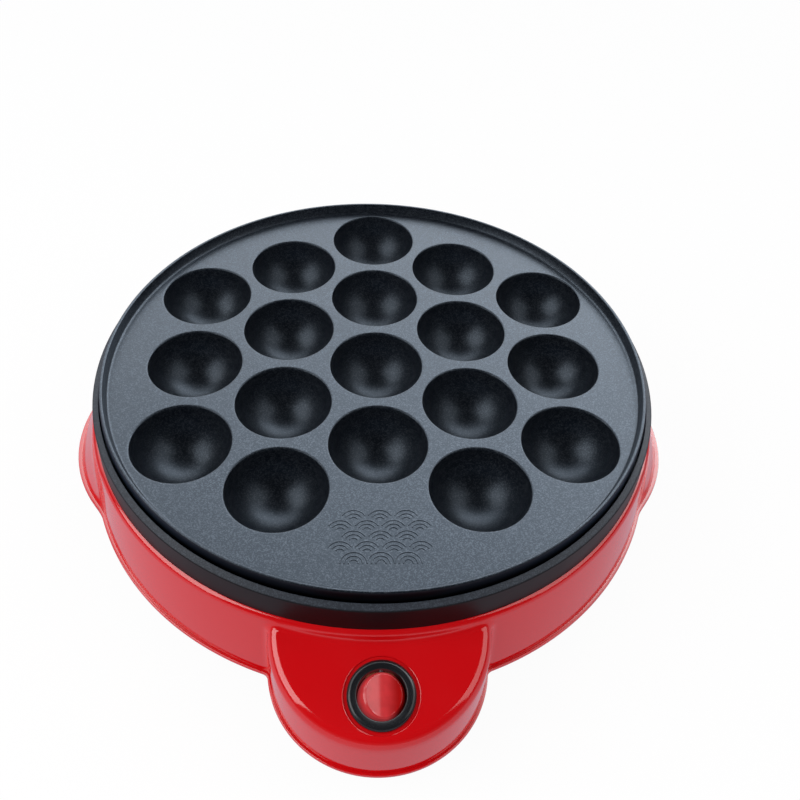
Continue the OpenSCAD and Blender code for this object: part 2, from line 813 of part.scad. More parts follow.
module internal_wires() {
    leg_x = loop_r * sin(loop_open);
    leg_y = -loop_r * cos(loop_open);
    leg_z = tube_z - leg_l - 6.5;
    fuse_z = dish_z - 2 * sheet_t - fuse_d / 2 - fit;
    fuse_end = fuse_l / 2 + 4.4;
    blade_z = under_z - thermo_h - 7.4;
    color("#c9c4b8") about_axis() {
        wire([pole(0), pole(0) - [0, 8, 0], pole(0) - [3, 16, 0], [-22, 0, wire_z],
            [-26, -60, wire_z], [-13, switch_y + 22, wire_z], blade_end(0) - [0, -3, 4],
            blade_end(0)]);
        wire([blade_end(1), blade_end(1) - [0, -4, 4], [3, thermo_y - 14, wire_z + 2],
            [2.5, thermo_y, dish_z - 4], [2.5, thermo_y, blade_z]]);
        wire([[-2.5, thermo_y, blade_z], [-2.5, thermo_y, dish_z - 4], [-2, thermo_y + 14, wire_z + 3],
            [4, -30, wire_z + 3], [fuse_at[0] - fuse_end - 8, fuse_at[1] - 2, fuse_z - 3],
            [fuse_at[0] - fuse_end, fuse_at[1], fuse_z]]);
        wire([[fuse_at[0] + fuse_end, fuse_at[1], fuse_z],
            [fuse_at[0] + fuse_end + 5, fuse_at[1] - 3, fuse_z - 3],
            [fuse_at[0] + 6, -40, wire_z + 2], [leg_x + 1, leg_y + 3, leg_z - 4],
            [leg_x, leg_y, leg_z - 1], [leg_x, leg_y, leg_z]]);
        wire([[-leg_x, leg_y, leg_z], [-leg_x, leg_y, leg_z - 1], [-leg_x, leg_y + 3, leg_z - 4],
            [-6, -20, wire_z - 3], [8, 30, wire_z - 2], pole(1) - [0, 12, 0], pole(1)]);
        wire([pole(-1), pole(-1) - [0, 8, 0], [-17, 38, wire_z],
            [earth_at[0] + 16, earth_at[1], wire_z + 8],
            [earth_at[0] + 9, earth_at[1], dish_z - 2 * sheet_t - wire_d / 2 - fit]]);
    }
}

// ---------- cord inlet ----------

module cord_bush() {
    color("#1a1a1a") about_axis() translate([0, inlet_y - 0.4, inlet_z]) rotate([-90, 0, 0]) {
        tube(bush_flange_r, cord_bore / 2, bush_flange_t);
        translate([0, 0, -bush_l]) tube(bush_r, cord_bore / 2, bush_l + 1);
    }
}

module bush_nut() {
    color("#2c2c2c") about_axis() translate([0, inlet_y - wall - 4, inlet_z]) rotate([90, 0, 0])
        difference() {
            cylinder(r = bush_r + 3, h = nut_t, $fn = 6);
            translate([0, 0, -1]) cylinder(r = bush_r + fit, h = nut_t + 2);
        }
}

// ---------- rocker switch ----------

module switch_bezel() {
    mid = (opening_r + bezel_d / 2) / 2;
    crown = 2.1;
    color("#17181a") at_switch() difference() {
        union() {
            rotate_extrude() {
                ring_profile(opening_r, barrel_r, -barrel_depth, barrel_depth);
                ring_profile(opening_r, bezel_d / 2, -recess, recess + 0.3);
                intersection() {
                    ring_profile(opening_r, bezel_d / 2, -recess, bezel_h + recess);
                    translate([mid, bezel_h - crown]) circle(r = crown, $fn = 48);
                }
            }
            for (s = [-1, 1]) translate([s * barrel_r - 0.7, -2, -wall - 2.7]) cube([1.4, 4, 2.4]);
        }
        translate([0, 0, -pivot_depth]) rotate([90, 0, 0])
            cylinder(d = pin_d + 2 * fit, h = 2 * barrel_d, center = true);
    }
}

module rocker_pin() {
    color("silver") at_switch() translate([0, 0, -pivot_depth]) rotate([90, 0, 0])
        cylinder(d = pin_d, h = barrel_d - 0.2, center = true);
}

module rocker() {
    face_top = valley + face_r;
    color("#c5141c") at_switch() translate([0, 0, -pivot_depth])
        rotate([0, rocker_travel / 2, 0]) difference() {
            union() {
                intersection() {
                    sphere(r = rocker_r, $fn = 96);
                    translate([-rocker_r, -rocker_r, -3]) cube([2 * rocker_r, 2 * rocker_r, 20]);
                }
                translate([0, 0, nose_r - nose_len]) {
                    sphere(r = nose_r, $fn = 32);
                    cylinder(r = nose_r, h = nose_len - nose_r - 1, $fn = 32);
                }
            }
            translate([0, 0, face_top]) rotate([90, 0, 0])
                cylinder(r = face_r, h = 30, center = true, $fn = 144);
            rotate([90, 0, 0]) cylinder(d = pin_d + 2 * fit, h = 30, center = true);
        }
}

module contact_lever() {
    color("#c99a3a") at_switch() translate([0, 0, lever_z]) rotate([0, -lever_tilt, 0])
        translate([-lever_l / 2, -lever_w / 2, lever_gap]) cube([lever_l, lever_w, lever_t]);
}

module switch_body() {
    pivot_r = lever_gap - fit;
    color("#202124") at_switch() translate([0, 0, -barrel_depth]) difference() {
        union() {
            translate([0, 0, -body_floor]) cylinder(r = barrel_r, h = body_floor);
            tube(opening_r - 0.1, opening_r - 0.9, 1);
            translate([-pivot_r, -3, -eps]) cube([2 * pivot_r, 6, barrel_depth + lever_z]);
            translate([0, 0, barrel_depth + lever_z]) rotate([90, 0, 0])
                cylinder(r = pivot_r, h = 6, center = true);
        }
        for (b = BLADES) translate([b[0], b[1], -body_floor - 1])
            cylinder(r = 1.2 + fit, h = body_floor + 1.01);
    }
}

module switch_terminals() {
    color("#c99a3a") at_switch() translate([0, 0, -barrel_depth - body_floor]) for (b = BLADES)
        translate([b[0], b[1], 0]) {
            cylinder(r = 1.2, h = body_floor + (b[0] == 0 ? -0.2 : 0.2));
            translate([-blade_size[0] / 2, -blade_size[1] / 2, -blade_size[2]]) cube(blade_size);
        }
}

module neon_lamp() {
    color("#e89a5a") at_switch() translate([0, 6.2, -barrel_depth]) {
        translate([0, 0, 5]) rotate([0, 90, 0]) cylinder(d = 3, h = 7, center = true, $fn = 32);
        for (s = [-1, 1]) translate([s * 2.6, 0, 0]) cylinder(d = 0.6, h = 4, $fn = 16);
    }
}

cooking_plate();
plate_gasket();
plate_ring();
upper_housing();
base_pan();
reflector();
reflector_spacers();
plate_screws();
heating_element();
element_clamps();
clamp_screws();
element_bushes();
thermostat();
thermostat_strap();
strap_screws();
thermal_fuse();
fuse_clip();
fuse_screw();
terminal_block();
block_screws();
internal_wires();
cord_bush();
bush_nut();
switch_bezel();
switch_body();
switch_terminals();
rocker();
rocker_pin();
contact_lever();
neon_lamp();
feet();
foot_screws();
base_screws();
earth_tag();
earth_screw();
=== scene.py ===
"""Looks of an electric takoyaki maker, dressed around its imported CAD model.

The frame is in metres. Shapes are drawn in millimetres round the plate's upright axis, with
the lobe towards -y, and finish_mesh() brings them into the frame.
"""

import json
import math
from functools import lru_cache

import bmesh
import bpy
import numpy as np
from bpy.props import FloatProperty, FloatVectorProperty, IntProperty, PointerProperty
from mathutils import Matrix, Vector

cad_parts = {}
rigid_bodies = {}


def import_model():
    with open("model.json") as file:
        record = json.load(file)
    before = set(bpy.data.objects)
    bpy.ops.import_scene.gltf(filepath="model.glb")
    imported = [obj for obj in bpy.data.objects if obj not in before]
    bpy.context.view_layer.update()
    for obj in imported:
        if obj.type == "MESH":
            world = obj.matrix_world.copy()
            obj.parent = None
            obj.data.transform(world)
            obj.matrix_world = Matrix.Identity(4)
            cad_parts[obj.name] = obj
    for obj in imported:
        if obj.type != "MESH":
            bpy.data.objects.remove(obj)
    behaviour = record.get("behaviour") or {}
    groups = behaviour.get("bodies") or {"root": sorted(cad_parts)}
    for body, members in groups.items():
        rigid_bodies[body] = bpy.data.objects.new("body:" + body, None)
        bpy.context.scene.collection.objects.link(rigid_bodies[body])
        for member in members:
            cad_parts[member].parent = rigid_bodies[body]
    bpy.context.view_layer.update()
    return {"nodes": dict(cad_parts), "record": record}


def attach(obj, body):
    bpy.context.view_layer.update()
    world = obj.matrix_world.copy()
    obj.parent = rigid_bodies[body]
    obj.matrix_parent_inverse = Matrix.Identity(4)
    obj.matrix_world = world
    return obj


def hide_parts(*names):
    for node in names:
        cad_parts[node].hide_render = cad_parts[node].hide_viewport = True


bl_info = {
    "name": "Takoyaki maker",
    "version": (1, 0, 0),
    "blender": (4, 5, 0),
    "location": "View3D > Sidebar > Takoyaki",
    "description": "Builds the visible pieces and finishes of an electric takoyaki maker",
    "category": "Object",
}

# The objects that a new Blender file starts with go before the frame comes in.
for spare in list(bpy.data.objects):
    bpy.data.objects.remove(spare)
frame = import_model()

MM = 0.001
TAU = 2 * math.pi
AXIS = Vector((0, 0.01625, 0))  # foot of the plate's upright axis, in the frame
MERGE = 1e-4                    # points of a drawing that are closer than this become one
CRISP = 35.0                    # faces that meet at more degrees than this keep a hard edge


# ---------- sizes and colours that a user would change ----------


def length(name, default, description):
    return FloatProperty(name=name, description=description, default=default, min=0,
                         unit="LENGTH", precision=5)


def colour(name, default, description):
    return FloatVectorProperty(name=name, description=description, default=default, size=3,
                               min=0, max=1, subtype="COLOR")


class TakoyakiSizes(bpy.types.PropertyGroup):
    hollow_r: length("Hollow radius", 0.0206, "Inside radius of one ball hollow")
    pitch: length("Hollow pitch", 0.047, "Distance between two neighbouring hollows")
    mouth_r: length("Mouth rounding", 0.0009, "Rounding at the mouth of a hollow")
    flat_z: length("Plate height", 0.0702, "Height of the plate's flat above the table")
    rim_h: length("Rim height", 0.00478, "Height of the plate's rim above the flat")
    fillet: length("Housing fillet", 0.0026, "Fillet where the lobe and the grips meet the body")
    wall: length("Housing wall", 0.0020, "Wall of the red housing")
    recess_r: length("Switch recess radius", 0.01375, "Radius of the recess round the switch")
    relief_h: length("Relief height", 0.00022, "Height of the wave relief on the plate")
    relief_r: length("Wave radius", 0.0051, "Radius of one wave of the relief")
    rings: IntProperty(name="Steps round", description="Steps of a full turn on large pieces",
                       default=180, min=48, max=256)


class TakoyakiColours(bpy.types.PropertyGroup):
    red: colour("Body red", (0.72, 0.0032, 0.0060), "Colour of the glossy housing")
    coat: colour("Non-stick coat", (0.0015, 0.0028, 0.0060), "Colour of the plate's coat")
    ring: colour("Ring", (0.0015, 0.0020, 0.0030), "Colour of the ring round the plate")
    bezel: colour("Bezel", (0.010, 0.011, 0.013), "Colour of the switch's frame")
    rocker: colour("Rocker", (0.40, 0.002, 0.002), "Colour of the lit rocker")
    rubber: colour("Rubber", (0.018, 0.018, 0.019), "Colour of the feet")
    floor: colour("Floor", (0.86, 0.86, 0.86), "Colour of the floor")


# ---------- shader maths ----------


class Signal:
    """A socket of a shader tree, with sums and products that add their own Math nodes."""

    def __init__(self, finish, socket):
        self.finish, self.socket = finish, socket

    def _sum(self, operation, *terms):
        return self.finish.node("Math", {"operation": operation}, dict(enumerate(terms)))

    def __add__(self, other):
        return self._sum("ADD", self, other)

    def __sub__(self, other):
        return self._sum("SUBTRACT", self, other)

    def __rsub__(self, other):
        return self._sum("SUBTRACT", other, self)

    def __mul__(self, other):
        return self._sum("MULTIPLY", self, other)

    __radd__, __rmul__ = __add__, __mul__

    def power(self, other):
        return self._sum("POWER", self, other)

    def held(self):
        """The same, kept between 0 and 1."""
        return self.finish.node("Clamp", inputs={0: self})

    def steps(self, low, high):
        """0 below low, 1 above high and smooth between them."""
        return self.finish.node("MapRange", {"interpolation_type": "SMOOTHSTEP"},
                                {0: self, 1: low, 2: high})


class Finish:
    """A procedural material, or a world. node() makes any node of its tree."""

    def __init__(self, name, shelf="materials"):
        self.owner = getattr(bpy.data, shelf).new(name)
        self.owner.use_nodes = True
        self.tree = self.owner.node_tree
        self.tree.nodes.clear()

    def node(self, kind, settings=None, inputs=None, output=0):
        """Adds a node, sets it, feeds its sockets and gives one of its outputs, if it has any."""
        made = self.tree.nodes.new("ShaderNode" + kind)
        for key, value in (settings or {}).items():
            if key == "stops":
                ramp = made.color_ramp
                while len(ramp.elements) < len(value):
                    ramp.elements.new(0.5)
                for stop, (place, tint) in zip(ramp.elements, value):
                    stop.position, stop.color = place, (*tint, 1)
            else:
                setattr(made, key, value)
        for key, value in (inputs or {}).items():
            self.feed(made.inputs[key], value)
        return Signal(self, made.outputs[output]) if made.outputs else None

    def feed(self, socket, value):
        if isinstance(value, Signal):
            self.tree.links.new(value.socket, socket)
        elif socket.type == "RGBA" and len(value) == 3:
            socket.default_value = (*value, 1)
        else:
            socket.default_value = value

    def mix(self, factor, a, b):
        """Colour a where the factor is 0, and b where it is 1."""
        return self.node("Mix", {"data_type": "RGBA"}, {0: factor, 6: a, 7: b}, 2)

    def place(self):
        return self.node("TexCoord", output="Object")

    def along(self, axis):
        """The X, Y or Z of a point on the piece, in metres of the frame."""
        return self.node("SeparateXYZ", inputs={0: self.place()}, output=axis)

    def noise(self, scale, detail, roughness=0.5, stretch=None):
        at = self.place()
        if stretch:
            at = self.node("Mapping", inputs={"Vector": at, "Scale": stretch})
        return self.node("TexNoise", inputs={"Vector": at, "Scale": scale, "Detail": detail,
                                             "Roughness": roughness})

    def cells(self, scale, output="Distance"):
        """Small cells: the distance to a cell's middle, or with Color a random one for each."""
        return self.node("TexVoronoi", inputs={"Vector": self.place(), "Scale": scale},
                         output=output)

    def bump(self, height, strength, distance):
        return self.node("Bump", inputs={"Strength": strength, "Distance": distance,
                                         "Height": height})

    def close(self, shader):
        """Ends the tree with its shader and gives the material or world."""
        end = "OutputWorld" if isinstance(self.owner, bpy.types.World) else "OutputMaterial"
        self.node(end, inputs={0: shader})
        return self.owner

    def principled(self, **inputs):
        """Closes the material. A keyword is a socket's name with _ for the spaces."""
        named = {key.replace("_", " "): value for key, value in inputs.items()}
        return self.close(self.node("BsdfPrincipled", inputs=named))


def brighter(tint, share):
    """A colour times a share, which may be below 1, held at white."""
    return tuple(min(1.0, c * share) for c in tint)


# ---------- finishes ----------

# Bands of the frame, in metres, over which one finish gives way to another.
PLATE_SIDE_SHADE = 0.1204, 0.1209  # radius: from the coat to the plate's outer side, which is painted shade: near black and metallic
HOLLOW_SHADE_BAND = 0.062, 0.070  # height: from the floor of the hollows to the flat, where the painted shade of weaker grain ends
RING_LEDGE = 0.0684, 0.0690  # height: from the ring's smooth wall to its grained ledge
ROCKER_SHADE_FADE = 0.001, 0.0065    # x: from the middle of the rocker to its right edge, where its glow fades to painted shade
FLECKS = 2600                # cells of mineral grain in one metre


def red_plastic(c):
    """Glossy moulded shell, with a faint haze and a soft waviness in its mirror images."""
    f = Finish("red_gloss_plastic")
    drift = f.noise(9, 2).steps(0.3, 0.7)
    haze = f.noise(60, 3).steps(0.35, 0.75)
    wave = f.noise(26, 1, 0.3)
    return f.principled(Base_Color=f.mix(drift * 0.5, c.red, brighter(c.red, 0.92)),
                        Roughness=haze * 0.03 + 0.09, Specular_IOR_Level=0.9,
                        Normal=f.bump(wave, 0.05, 0.0006))


def mineral_grain(f):
    """Random flecks, under half a millimetre wide, most of them dark."""
    flecks = f.cells(FLECKS, "Color")
    return f.node("SeparateColor", inputs={0: flecks}).steps(0.3, 1.0).power(1.6)


def nonstick(c):
    """Dark coat with a fine mineral grain that sparkles where light grazes it. The grain, which
    lightens the coat, is weaker inside the hollows as painted shade. The plate's outer side,
    in the gap inside the ring, is painted shade: near black and metallic, so it reflects
    almost nothing."""
    f = Finish("nonstick_coat")
    x, y, z = f.along("X"), f.along("Y") - AXIS.y, f.along("Z")
    # painted shade: the plate's outer side, in the gap inside the ring, turns near black and
    # metallic
    side = (x * x + y * y).power(0.5).steps(*PLATE_SIDE_SHADE)
    # painted shade: less of the light grain, so a darker coat, inside the hollows
    grains = mineral_grain(f) * (z.steps(*HOLLOW_SHADE_BAND) * 0.15 + 0.5) * (1 - side)
    cloud = f.noise(14, 4).steps(0.3, 0.75)
    base = f.mix(cloud, brighter(c.coat, 0.85), brighter(c.coat, 1.15))
    coat = f.mix(grains, base, (0.090, 0.104, 0.122))
    micro = f.noise(3000, 2, 0.6)
    return f.principled(Base_Color=f.mix(side, coat, (0.006, 0.007, 0.009)),
                        Metallic=(grains + side).held(),
                        Roughness=(cloud - grains) * 0.04 + 0.32,
                        Specular_IOR_Level=0.5, Specular_Tint=(0.70, 0.84, 1.0),
                        Normal=f.bump((micro + grains) * 0.6, 0.20, 0.0001))


def ring_plastic(c):
    """Black plastic with a smooth wall, and paler with a mineral grain on its ledge."""
    f = Finish("ring_plastic")
    ledge = f.along("Z").steps(*RING_LEDGE)
    grains = mineral_grain(f) * ledge
    smudge = f.noise(35, 4).steps(0.3, 0.8)
    wall = f.mix(smudge * 0.5, c.ring, brighter(c.ring, 1.4))
    top = f.mix(ledge, wall, (0.030, 0.036, 0.046))
    micro = f.noise(1400, 2, 0.6)
    return f.principled(Base_Color=f.mix(grains * 0.4, top, (0.10, 0.12, 0.15)),
                        Roughness=smudge * 0.06 + 0.42, Specular_IOR_Level=0.26,
                        Normal=f.bump(micro, 0.12, 0.0001))


def moulded_black(name, tint, rough, grain, scale):
    """Black plastic or rubber, with a moulded grain and lighter smudges."""
    f = Finish(name)
    spots = f.noise(scale, 3, 0.6)
    smudge = f.noise(45, 4).steps(0.3, 0.8)
    return f.principled(Base_Color=f.mix(smudge, tint, brighter(tint, 1.4)),
                        Roughness=smudge * 0.08 + spots * 0.06 + (rough - 0.05),
                        Normal=f.bump(spots, grain, 0.00015))


def lit_rocker_painted_shade(c):
    """Clear red plastic with a lamp below. Its glow is partly that lamp and partly a painted
    reflection of the left soft box: full on the left and middle of the face, and fading to dark
    red towards the right edge as painted shade, where the coat is taken away too.
    """
    f = Finish("lit_rocker_painted_shade")
    glow = f.noise(220, 2).steps(0.3, 0.8)
    haze = f.noise(900, 2).steps(0.35, 0.8)
    # painted shade: the glow and the coat fade out towards the rocker's right edge
    far = f.along("X").steps(*ROCKER_SHADE_FADE)
    # the glow colour is partly the lamp below and partly a painted reflection of the left soft box
    lamp = f.mix(glow, (0.75, 0.080, 0.095), (0.60, 0.065, 0.075))
    return f.principled(Base_Color=f.mix(glow, c.rocker, brighter(c.rocker, 0.82)),
                        Roughness=haze * 0.05 + 0.20, Specular_IOR_Level=0.3,
                        Emission_Color=f.mix(far, lamp, (0.05, 0.0, 0.0)),
                        Emission_Strength=0.4, Coat_Weight=1 - far, Coat_Roughness=0.14,
                        Normal=f.bump(haze, 0.06, 0.0001))


def plated(name, tint, rough):
    """Bare or plated sheet metal, with fine streaks and darker stains."""
    f = Finish(name)
    streak = f.noise(320, 4, 0.65, (1, 1, 6))
    stain = f.noise(60, 3).steps(0.35, 0.8)
    return f.principled(Base_Color=f.mix(stain, tint, brighter(tint, 0.72)), Metallic=1.0,
                        Roughness=stain * 0.12 + streak * 0.08 + rough,
                        Normal=f.bump(streak, 0.3, 0.00006))


def heated_tube():
    """Steel tube with the straw and blue tints of heat."""
    f = Finish("heated_tube")
    straw, plum, blue = (0.30, 0.24, 0.18), (0.24, 0.20, 0.22), (0.16, 0.18, 0.24)
    tint = f.node("ValToRGB", {"stops": [(0.25, straw), (0.5, plum), (0.75, blue)]},
                  {0: f.noise(40, 3)})
    streak = f.noise(500, 3)
    return f.principled(Base_Color=tint, Metallic=0.9, Roughness=streak * 0.15 + 0.33,
                        Normal=f.bump(streak, 0.2, 0.0001))


def chalky(name, tint, rough, weave=None):
    """A pale part that isn't metal, with some dust, and with a weave if it is a sleeve."""
    f = Finish(name)
    dust = f.noise(240, 4).steps(0.3, 0.75)
    grain = f.cells(weave) if weave else f.noise(900, 3)
    return f.principled(Base_Color=f.mix(dust, tint, brighter(tint, 0.8)),
                        Roughness=dust * 0.15 + rough, Normal=f.bump(grain, 0.35, 0.0002))


def lamp_glass():
    """Glass of the small neon lamp, lit orange."""
    f = Finish("lamp_glass")
    glow = f.noise(300, 2).steps(0.3, 0.8)
    return f.principled(Base_Color=(0.95, 0.55, 0.30), Roughness=glow * 0.05 + 0.05,
                        Emission_Color=f.mix(glow, (1.0, 0.35, 0.12), (1.0, 0.22, 0.08)),
                        Emission_Strength=0.6)


def inner_finishes(c):
    """The finishes of the CAD nodes that still show, by the record's slots."""
    return {
        "silicone": chalky("silicone_seal", (0.22, 0.22, 0.23), 0.6),
        "pan_black": moulded_black("grained_black", (0.016, 0.016, 0.018), 0.5, 0.6, 1100),
        "bright_sheet": plated("bright_sheet", (0.62, 0.63, 0.65), 0.2),
        "plated_steel": plated("zinc_plate", (0.56, 0.57, 0.60), 0.25),
        "tube_steel": heated_tube(),
        "ceramic": chalky("glazed_ceramic", (0.78, 0.75, 0.68), 0.3),
        "sleeve": chalky("woven_sleeve", (0.78, 0.74, 0.60), 0.7, 1500),
        "block_white": chalky("block_resin", (0.80, 0.78, 0.72), 0.45),
        "wire_cover": chalky("wire_cover", (0.66, 0.64, 0.58), 0.4),
        "brass_blade": plated("brass_blade", (0.72, 0.50, 0.20), 0.22),
        "lamp_glass": lamp_glass(),
        "foot_rubber": moulded_black("foot_rubber", c.rubber, 0.7, 0.5, 700),
    }


# ---------- modelling helpers; all shapes are drawn in millimetres ----------


def arc(cx, cz, r, start, end, steps):
    """Points of an arc in the x-z plane, in degrees."""
    turns = [math.radians(start + (end - start) * i / steps) for i in range(steps + 1)]
    return [(cx + r * math.cos(a), cz + r * math.sin(a)) for a in turns]


def wire(bm, points, closed):
    """A wire in the x-z plane, ready to be spun."""
    verts = [bm.verts.new((x, 0, z)) for x, z in points]
    pairs = list(zip(verts, verts[1:])) + ([(verts[-1], verts[0])] if closed else [])
    return verts + [bm.edges.new(pair) for pair in pairs]


def turn(bm, points, steps, closed=True, angle=TAU):
    """Spins an outline about the z axis."""
    bmesh.ops.spin(bm, geom=wire(bm, points, closed), cent=(0, 0, 0), axis=(0, 0, 1),
                   angle=angle, steps=steps, use_merge=angle == TAU, use_duplicate=False)
    bmesh.ops.remove_doubles(bm, verts=bm.verts, dist=MERGE)


def peg(bm, x, y, low, high, r):
    """An upright round peg."""
    made = bmesh.ops.create_cone(bm, cap_ends=True, segments=32, radius1=r, radius2=r,
                                 depth=high - low)["verts"]
    bmesh.ops.translate(bm, verts=made, vec=(x, y, (low + high) / 2))


def open_edges(bm):
    """Edges with a face on one side only."""
    return [e for e in bm.edges if e.is_boundary]


def joined(bm, part, places=((0, 0),)):
    """Adds a drawing to another one, once at each place."""
    mesh = bpy.data.meshes.new("part")
    part.to_mesh(mesh)
    part.free()
    at = Vector((0, 0))
    for place in places:
        step = Vector(place) - at
        mesh.transform(Matrix.Translation((step.x, step.y, 0)))
        bm.from_mesh(mesh)
        at = Vector(place)
    bpy.data.meshes.remove(mesh)


def shade(bm, crisp):
    """Smooth shading, with hard edges where two faces meet at more than an angle."""
    for face in bm.faces:
        face.smooth = True
    for edge in bm.edges:
        if len(edge.link_faces) == 2:
            edge.smooth = edge.calc_face_angle(0) < math.radians(crisp)


def linked(name, data):
    """A new object in the scene, at the origin."""
    made = bpy.data.objects.new(name, data)
    bpy.context.scene.collection.objects.link(made)
    return made


def finish_mesh(bm, name, place=Matrix(), crisp=CRISP):
    """Turns a drawing in millimetres into an object of the frame with smooth shading."""
    bmesh.ops.remove_doubles(bm, verts=bm.verts, dist=MERGE)
    bmesh.ops.recalc_face_normals(bm, faces=bm.faces)
    bm.transform(Matrix.Translation(AXIS) @ Matrix.Scale(MM, 4) @ place)
    shade(bm, crisp)
    mesh = bpy.data.meshes.new(name)
    bm.to_mesh(mesh)
    bm.free()
    return linked(name, mesh)


def carve(piece, cutter, crisp):
    """Cuts a piece with another one, removes the cutter and shades the piece again."""
    cut = piece.modifiers.new("cut", "BOOLEAN")
    cut.operation, cut.solver, cut.object = "DIFFERENCE", "EXACT", cutter
    mesh = bpy.data.meshes.new_from_object(
        piece.evaluated_get(bpy.context.evaluated_depsgraph_get()))
    piece.modifiers.clear()
    piece.data = mesh
    bpy.data.objects.remove(cutter)
    bm = bmesh.new()
    bm.from_mesh(mesh)
    shade(bm, crisp)
    bm.to_mesh(mesh)
    bm.free()


def dress(piece, material, body, slot, *nodes):
    """Gives a new piece its finish and its body, and hides the CAD nodes it stands for. The slot
    is not used.
    """
    piece.data.materials.clear()
    piece.data.materials.append(material)
    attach(piece, body)
    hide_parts(*nodes)


# ---------- the cooking plate ----------

PLATE_UNDER, HOLLOW_WALL = 66.2, 2.5     # underside between the hollows, wall of a hollow
EDGE_R, PLATE_R = 117.4, 121.3           # where the plate sits in the ring, and its outer edge
RIM_FOOT_R, RIM_TOP_R = 117.8, 120.0     # where the rim leaves the flat, and where it crests
COVE, CREST, BROW = 1.4, 0.9, 0.6        # roundings of the rim, from its foot outwards
SKIRT = 5.4                              # how far the outer edge hangs below the flat
MOUTH_MARGIN = 0.35                      # flat ring round the mouth of a hollow
PLATE_CRISP = 40.0
# Each column of hollows: its place and its hollows' places, in steps of the pattern.
HOLLOW_COLUMNS = ((-2, (-1, 0, 1)), (-1, (-1.5, -0.5, 0.5, 1.5)), (0, (-1, 0, 1, 2)),
                  (1, (-1.5, -0.5, 0.5, 1.5)), (2, (-1, 0, 1)))
# Bosses: where they stand round the axis in degrees, how far out, their lower end and radius.
SCREW_BOSSES = (60, 120, 240, 300), 110, 58.6, 4.5
CLAMP_BOSSES = (100.9, 220.9, 340.9), 71.79, 41.9, 3.8
STRAP_BOSS_X, STRAP_BOSS_H, STRAP_BOSS_R = 13, 5, 3
BOSS_ROOT = PLATE_UNDER + 1


def hollow_places(pitch):
    """Middles of the 18 hollows, in columns whose neighbours are half a pitch apart."""
    step = pitch * math.sqrt(3) / 2
    return [(c * step, y * pitch) for c, ys in HOLLOW_COLUMNS for y in ys]


def ball_hollow(ball, mouth, flat):
    """One hollow: its rounded mouth, its bowl, and the outside of its wall below the plate."""
    centre, outside = flat - mouth, ball + HOLLOW_WALL
    lip = [(ball + mouth + MOUTH_MARGIN, flat)] + arc(ball + mouth, centre, mouth, 90, 180, 7)
    under = math.degrees(math.asin((centre - PLATE_UNDER) / outside))
    bm = bmesh.new()
    turn(bm, lip + arc(0, centre, ball, 0, -90, 22)[1:], 72, closed=False)
    turn(bm, arc(0, centre, outside, -under, -90, 10), 40, closed=False)
    return bm


def rim_outline(flat, rim):
    """Half section of the plate's rim and edge, from the flat to the underside."""
    top, low = flat + rim, flat - SKIRT
    return ([(RIM_FOOT_R - 0.6, flat)]
            + arc(RIM_FOOT_R - 0.5, flat + COVE, COVE, 270, 318, 4)
            + arc(RIM_TOP_R - 0.1, top - CREST, CREST, 130, 90, 4)
            + arc(PLATE_R - 2 * BROW, top - BROW, BROW, 90, 6, 5)
            + [(PLATE_R - 0.1, flat + 0.4), (PLATE_R, flat - 0.6), (PLATE_R, low + 0.4),
               (PLATE_R - 0.4, low), (EDGE_R, low), (EDGE_R, PLATE_UNDER + 0.4),
               (EDGE_R - 0.4, PLATE_UNDER)])


def plate_bosses(pitch):
    """Bosses for the plate's screws, the element's clamps and the thermostat's strap."""
    bm = bmesh.new()
    for turns, reach, low, r in (SCREW_BOSSES, CLAMP_BOSSES):
        for a in map(math.radians, turns):
            peg(bm, reach * math.cos(a), reach * math.sin(a), low, BOSS_ROOT, r)
    for x in (-STRAP_BOSS_X, STRAP_BOSS_X):
        peg(bm, x, -2 * pitch, PLATE_UNDER - STRAP_BOSS_H, BOSS_ROOT, STRAP_BOSS_R)
    return bm


def rings_on(bm, z):
    """Open edges that lie in one level plane."""
    return [e for e in open_edges(bm) if all(abs(v.co.z - z) < 1e-3 for v in e.verts)]


def cast_plate(sizes):
    """The casting: rim, hollows, the two flats between them, bosses and the wave relief."""
    flat, pitch = sizes.flat_z / MM, sizes.pitch / MM
    bm = bmesh.new()
    turn(bm, rim_outline(flat, sizes.rim_h / MM), sizes.rings, closed=False)
    joined(bm, ball_hollow(sizes.hollow_r / MM, sizes.mouth_r / MM, flat),
           hollow_places(pitch))
    for level in (flat, PLATE_UNDER):
        bmesh.ops.triangle_fill(bm, use_beauty=True, edges=rings_on(bm, level))
    joined(bm, plate_bosses(pitch))
    joined(bm, wave_relief(sizes), ((0, RELIEF_Y),))
    return bm


RELIEF_Y = -94
RELIEF_ROWS = 3, 4, 3, 4, 3        # waves in each row, the front one first
ROW_MIDDLE, ROW_STEP = 2.4, 0.94   # the row that lies on RELIEF_Y, and the rows' step in radii
RIDGES, RIDGE_HALF = (1.0, 0.68, 0.36), 0.38
RIDGE_FOOT, RIDGE_SIDE = -0.2, 0.55
FRONT_CUT, COVERED_CUT = 1, 31     # degrees left off each end of a wave, by its row


def wave(r, high, flat, cut):
    """One wave: half rings, one inside the other, with the cut left off at both ends."""
    bm = bmesh.new()
    section = ((-1, RIDGE_FOOT), (-RIDGE_SIDE, 0.8 * high), (0, high),
               (RIDGE_SIDE, 0.8 * high), (1, RIDGE_FOOT))
    for share in RIDGES:
        ridge = bmesh.new()
        turn(ridge, [(share * r + x * RIDGE_HALF, flat + z) for x, z in section], 14,
             angle=math.radians(180 - 2 * cut))
        bmesh.ops.holes_fill(ridge, edges=open_edges(ridge))
        ridge.transform(Matrix.Rotation(math.radians(cut), 4, "Z"))
        joined(bm, ridge)
    return bm


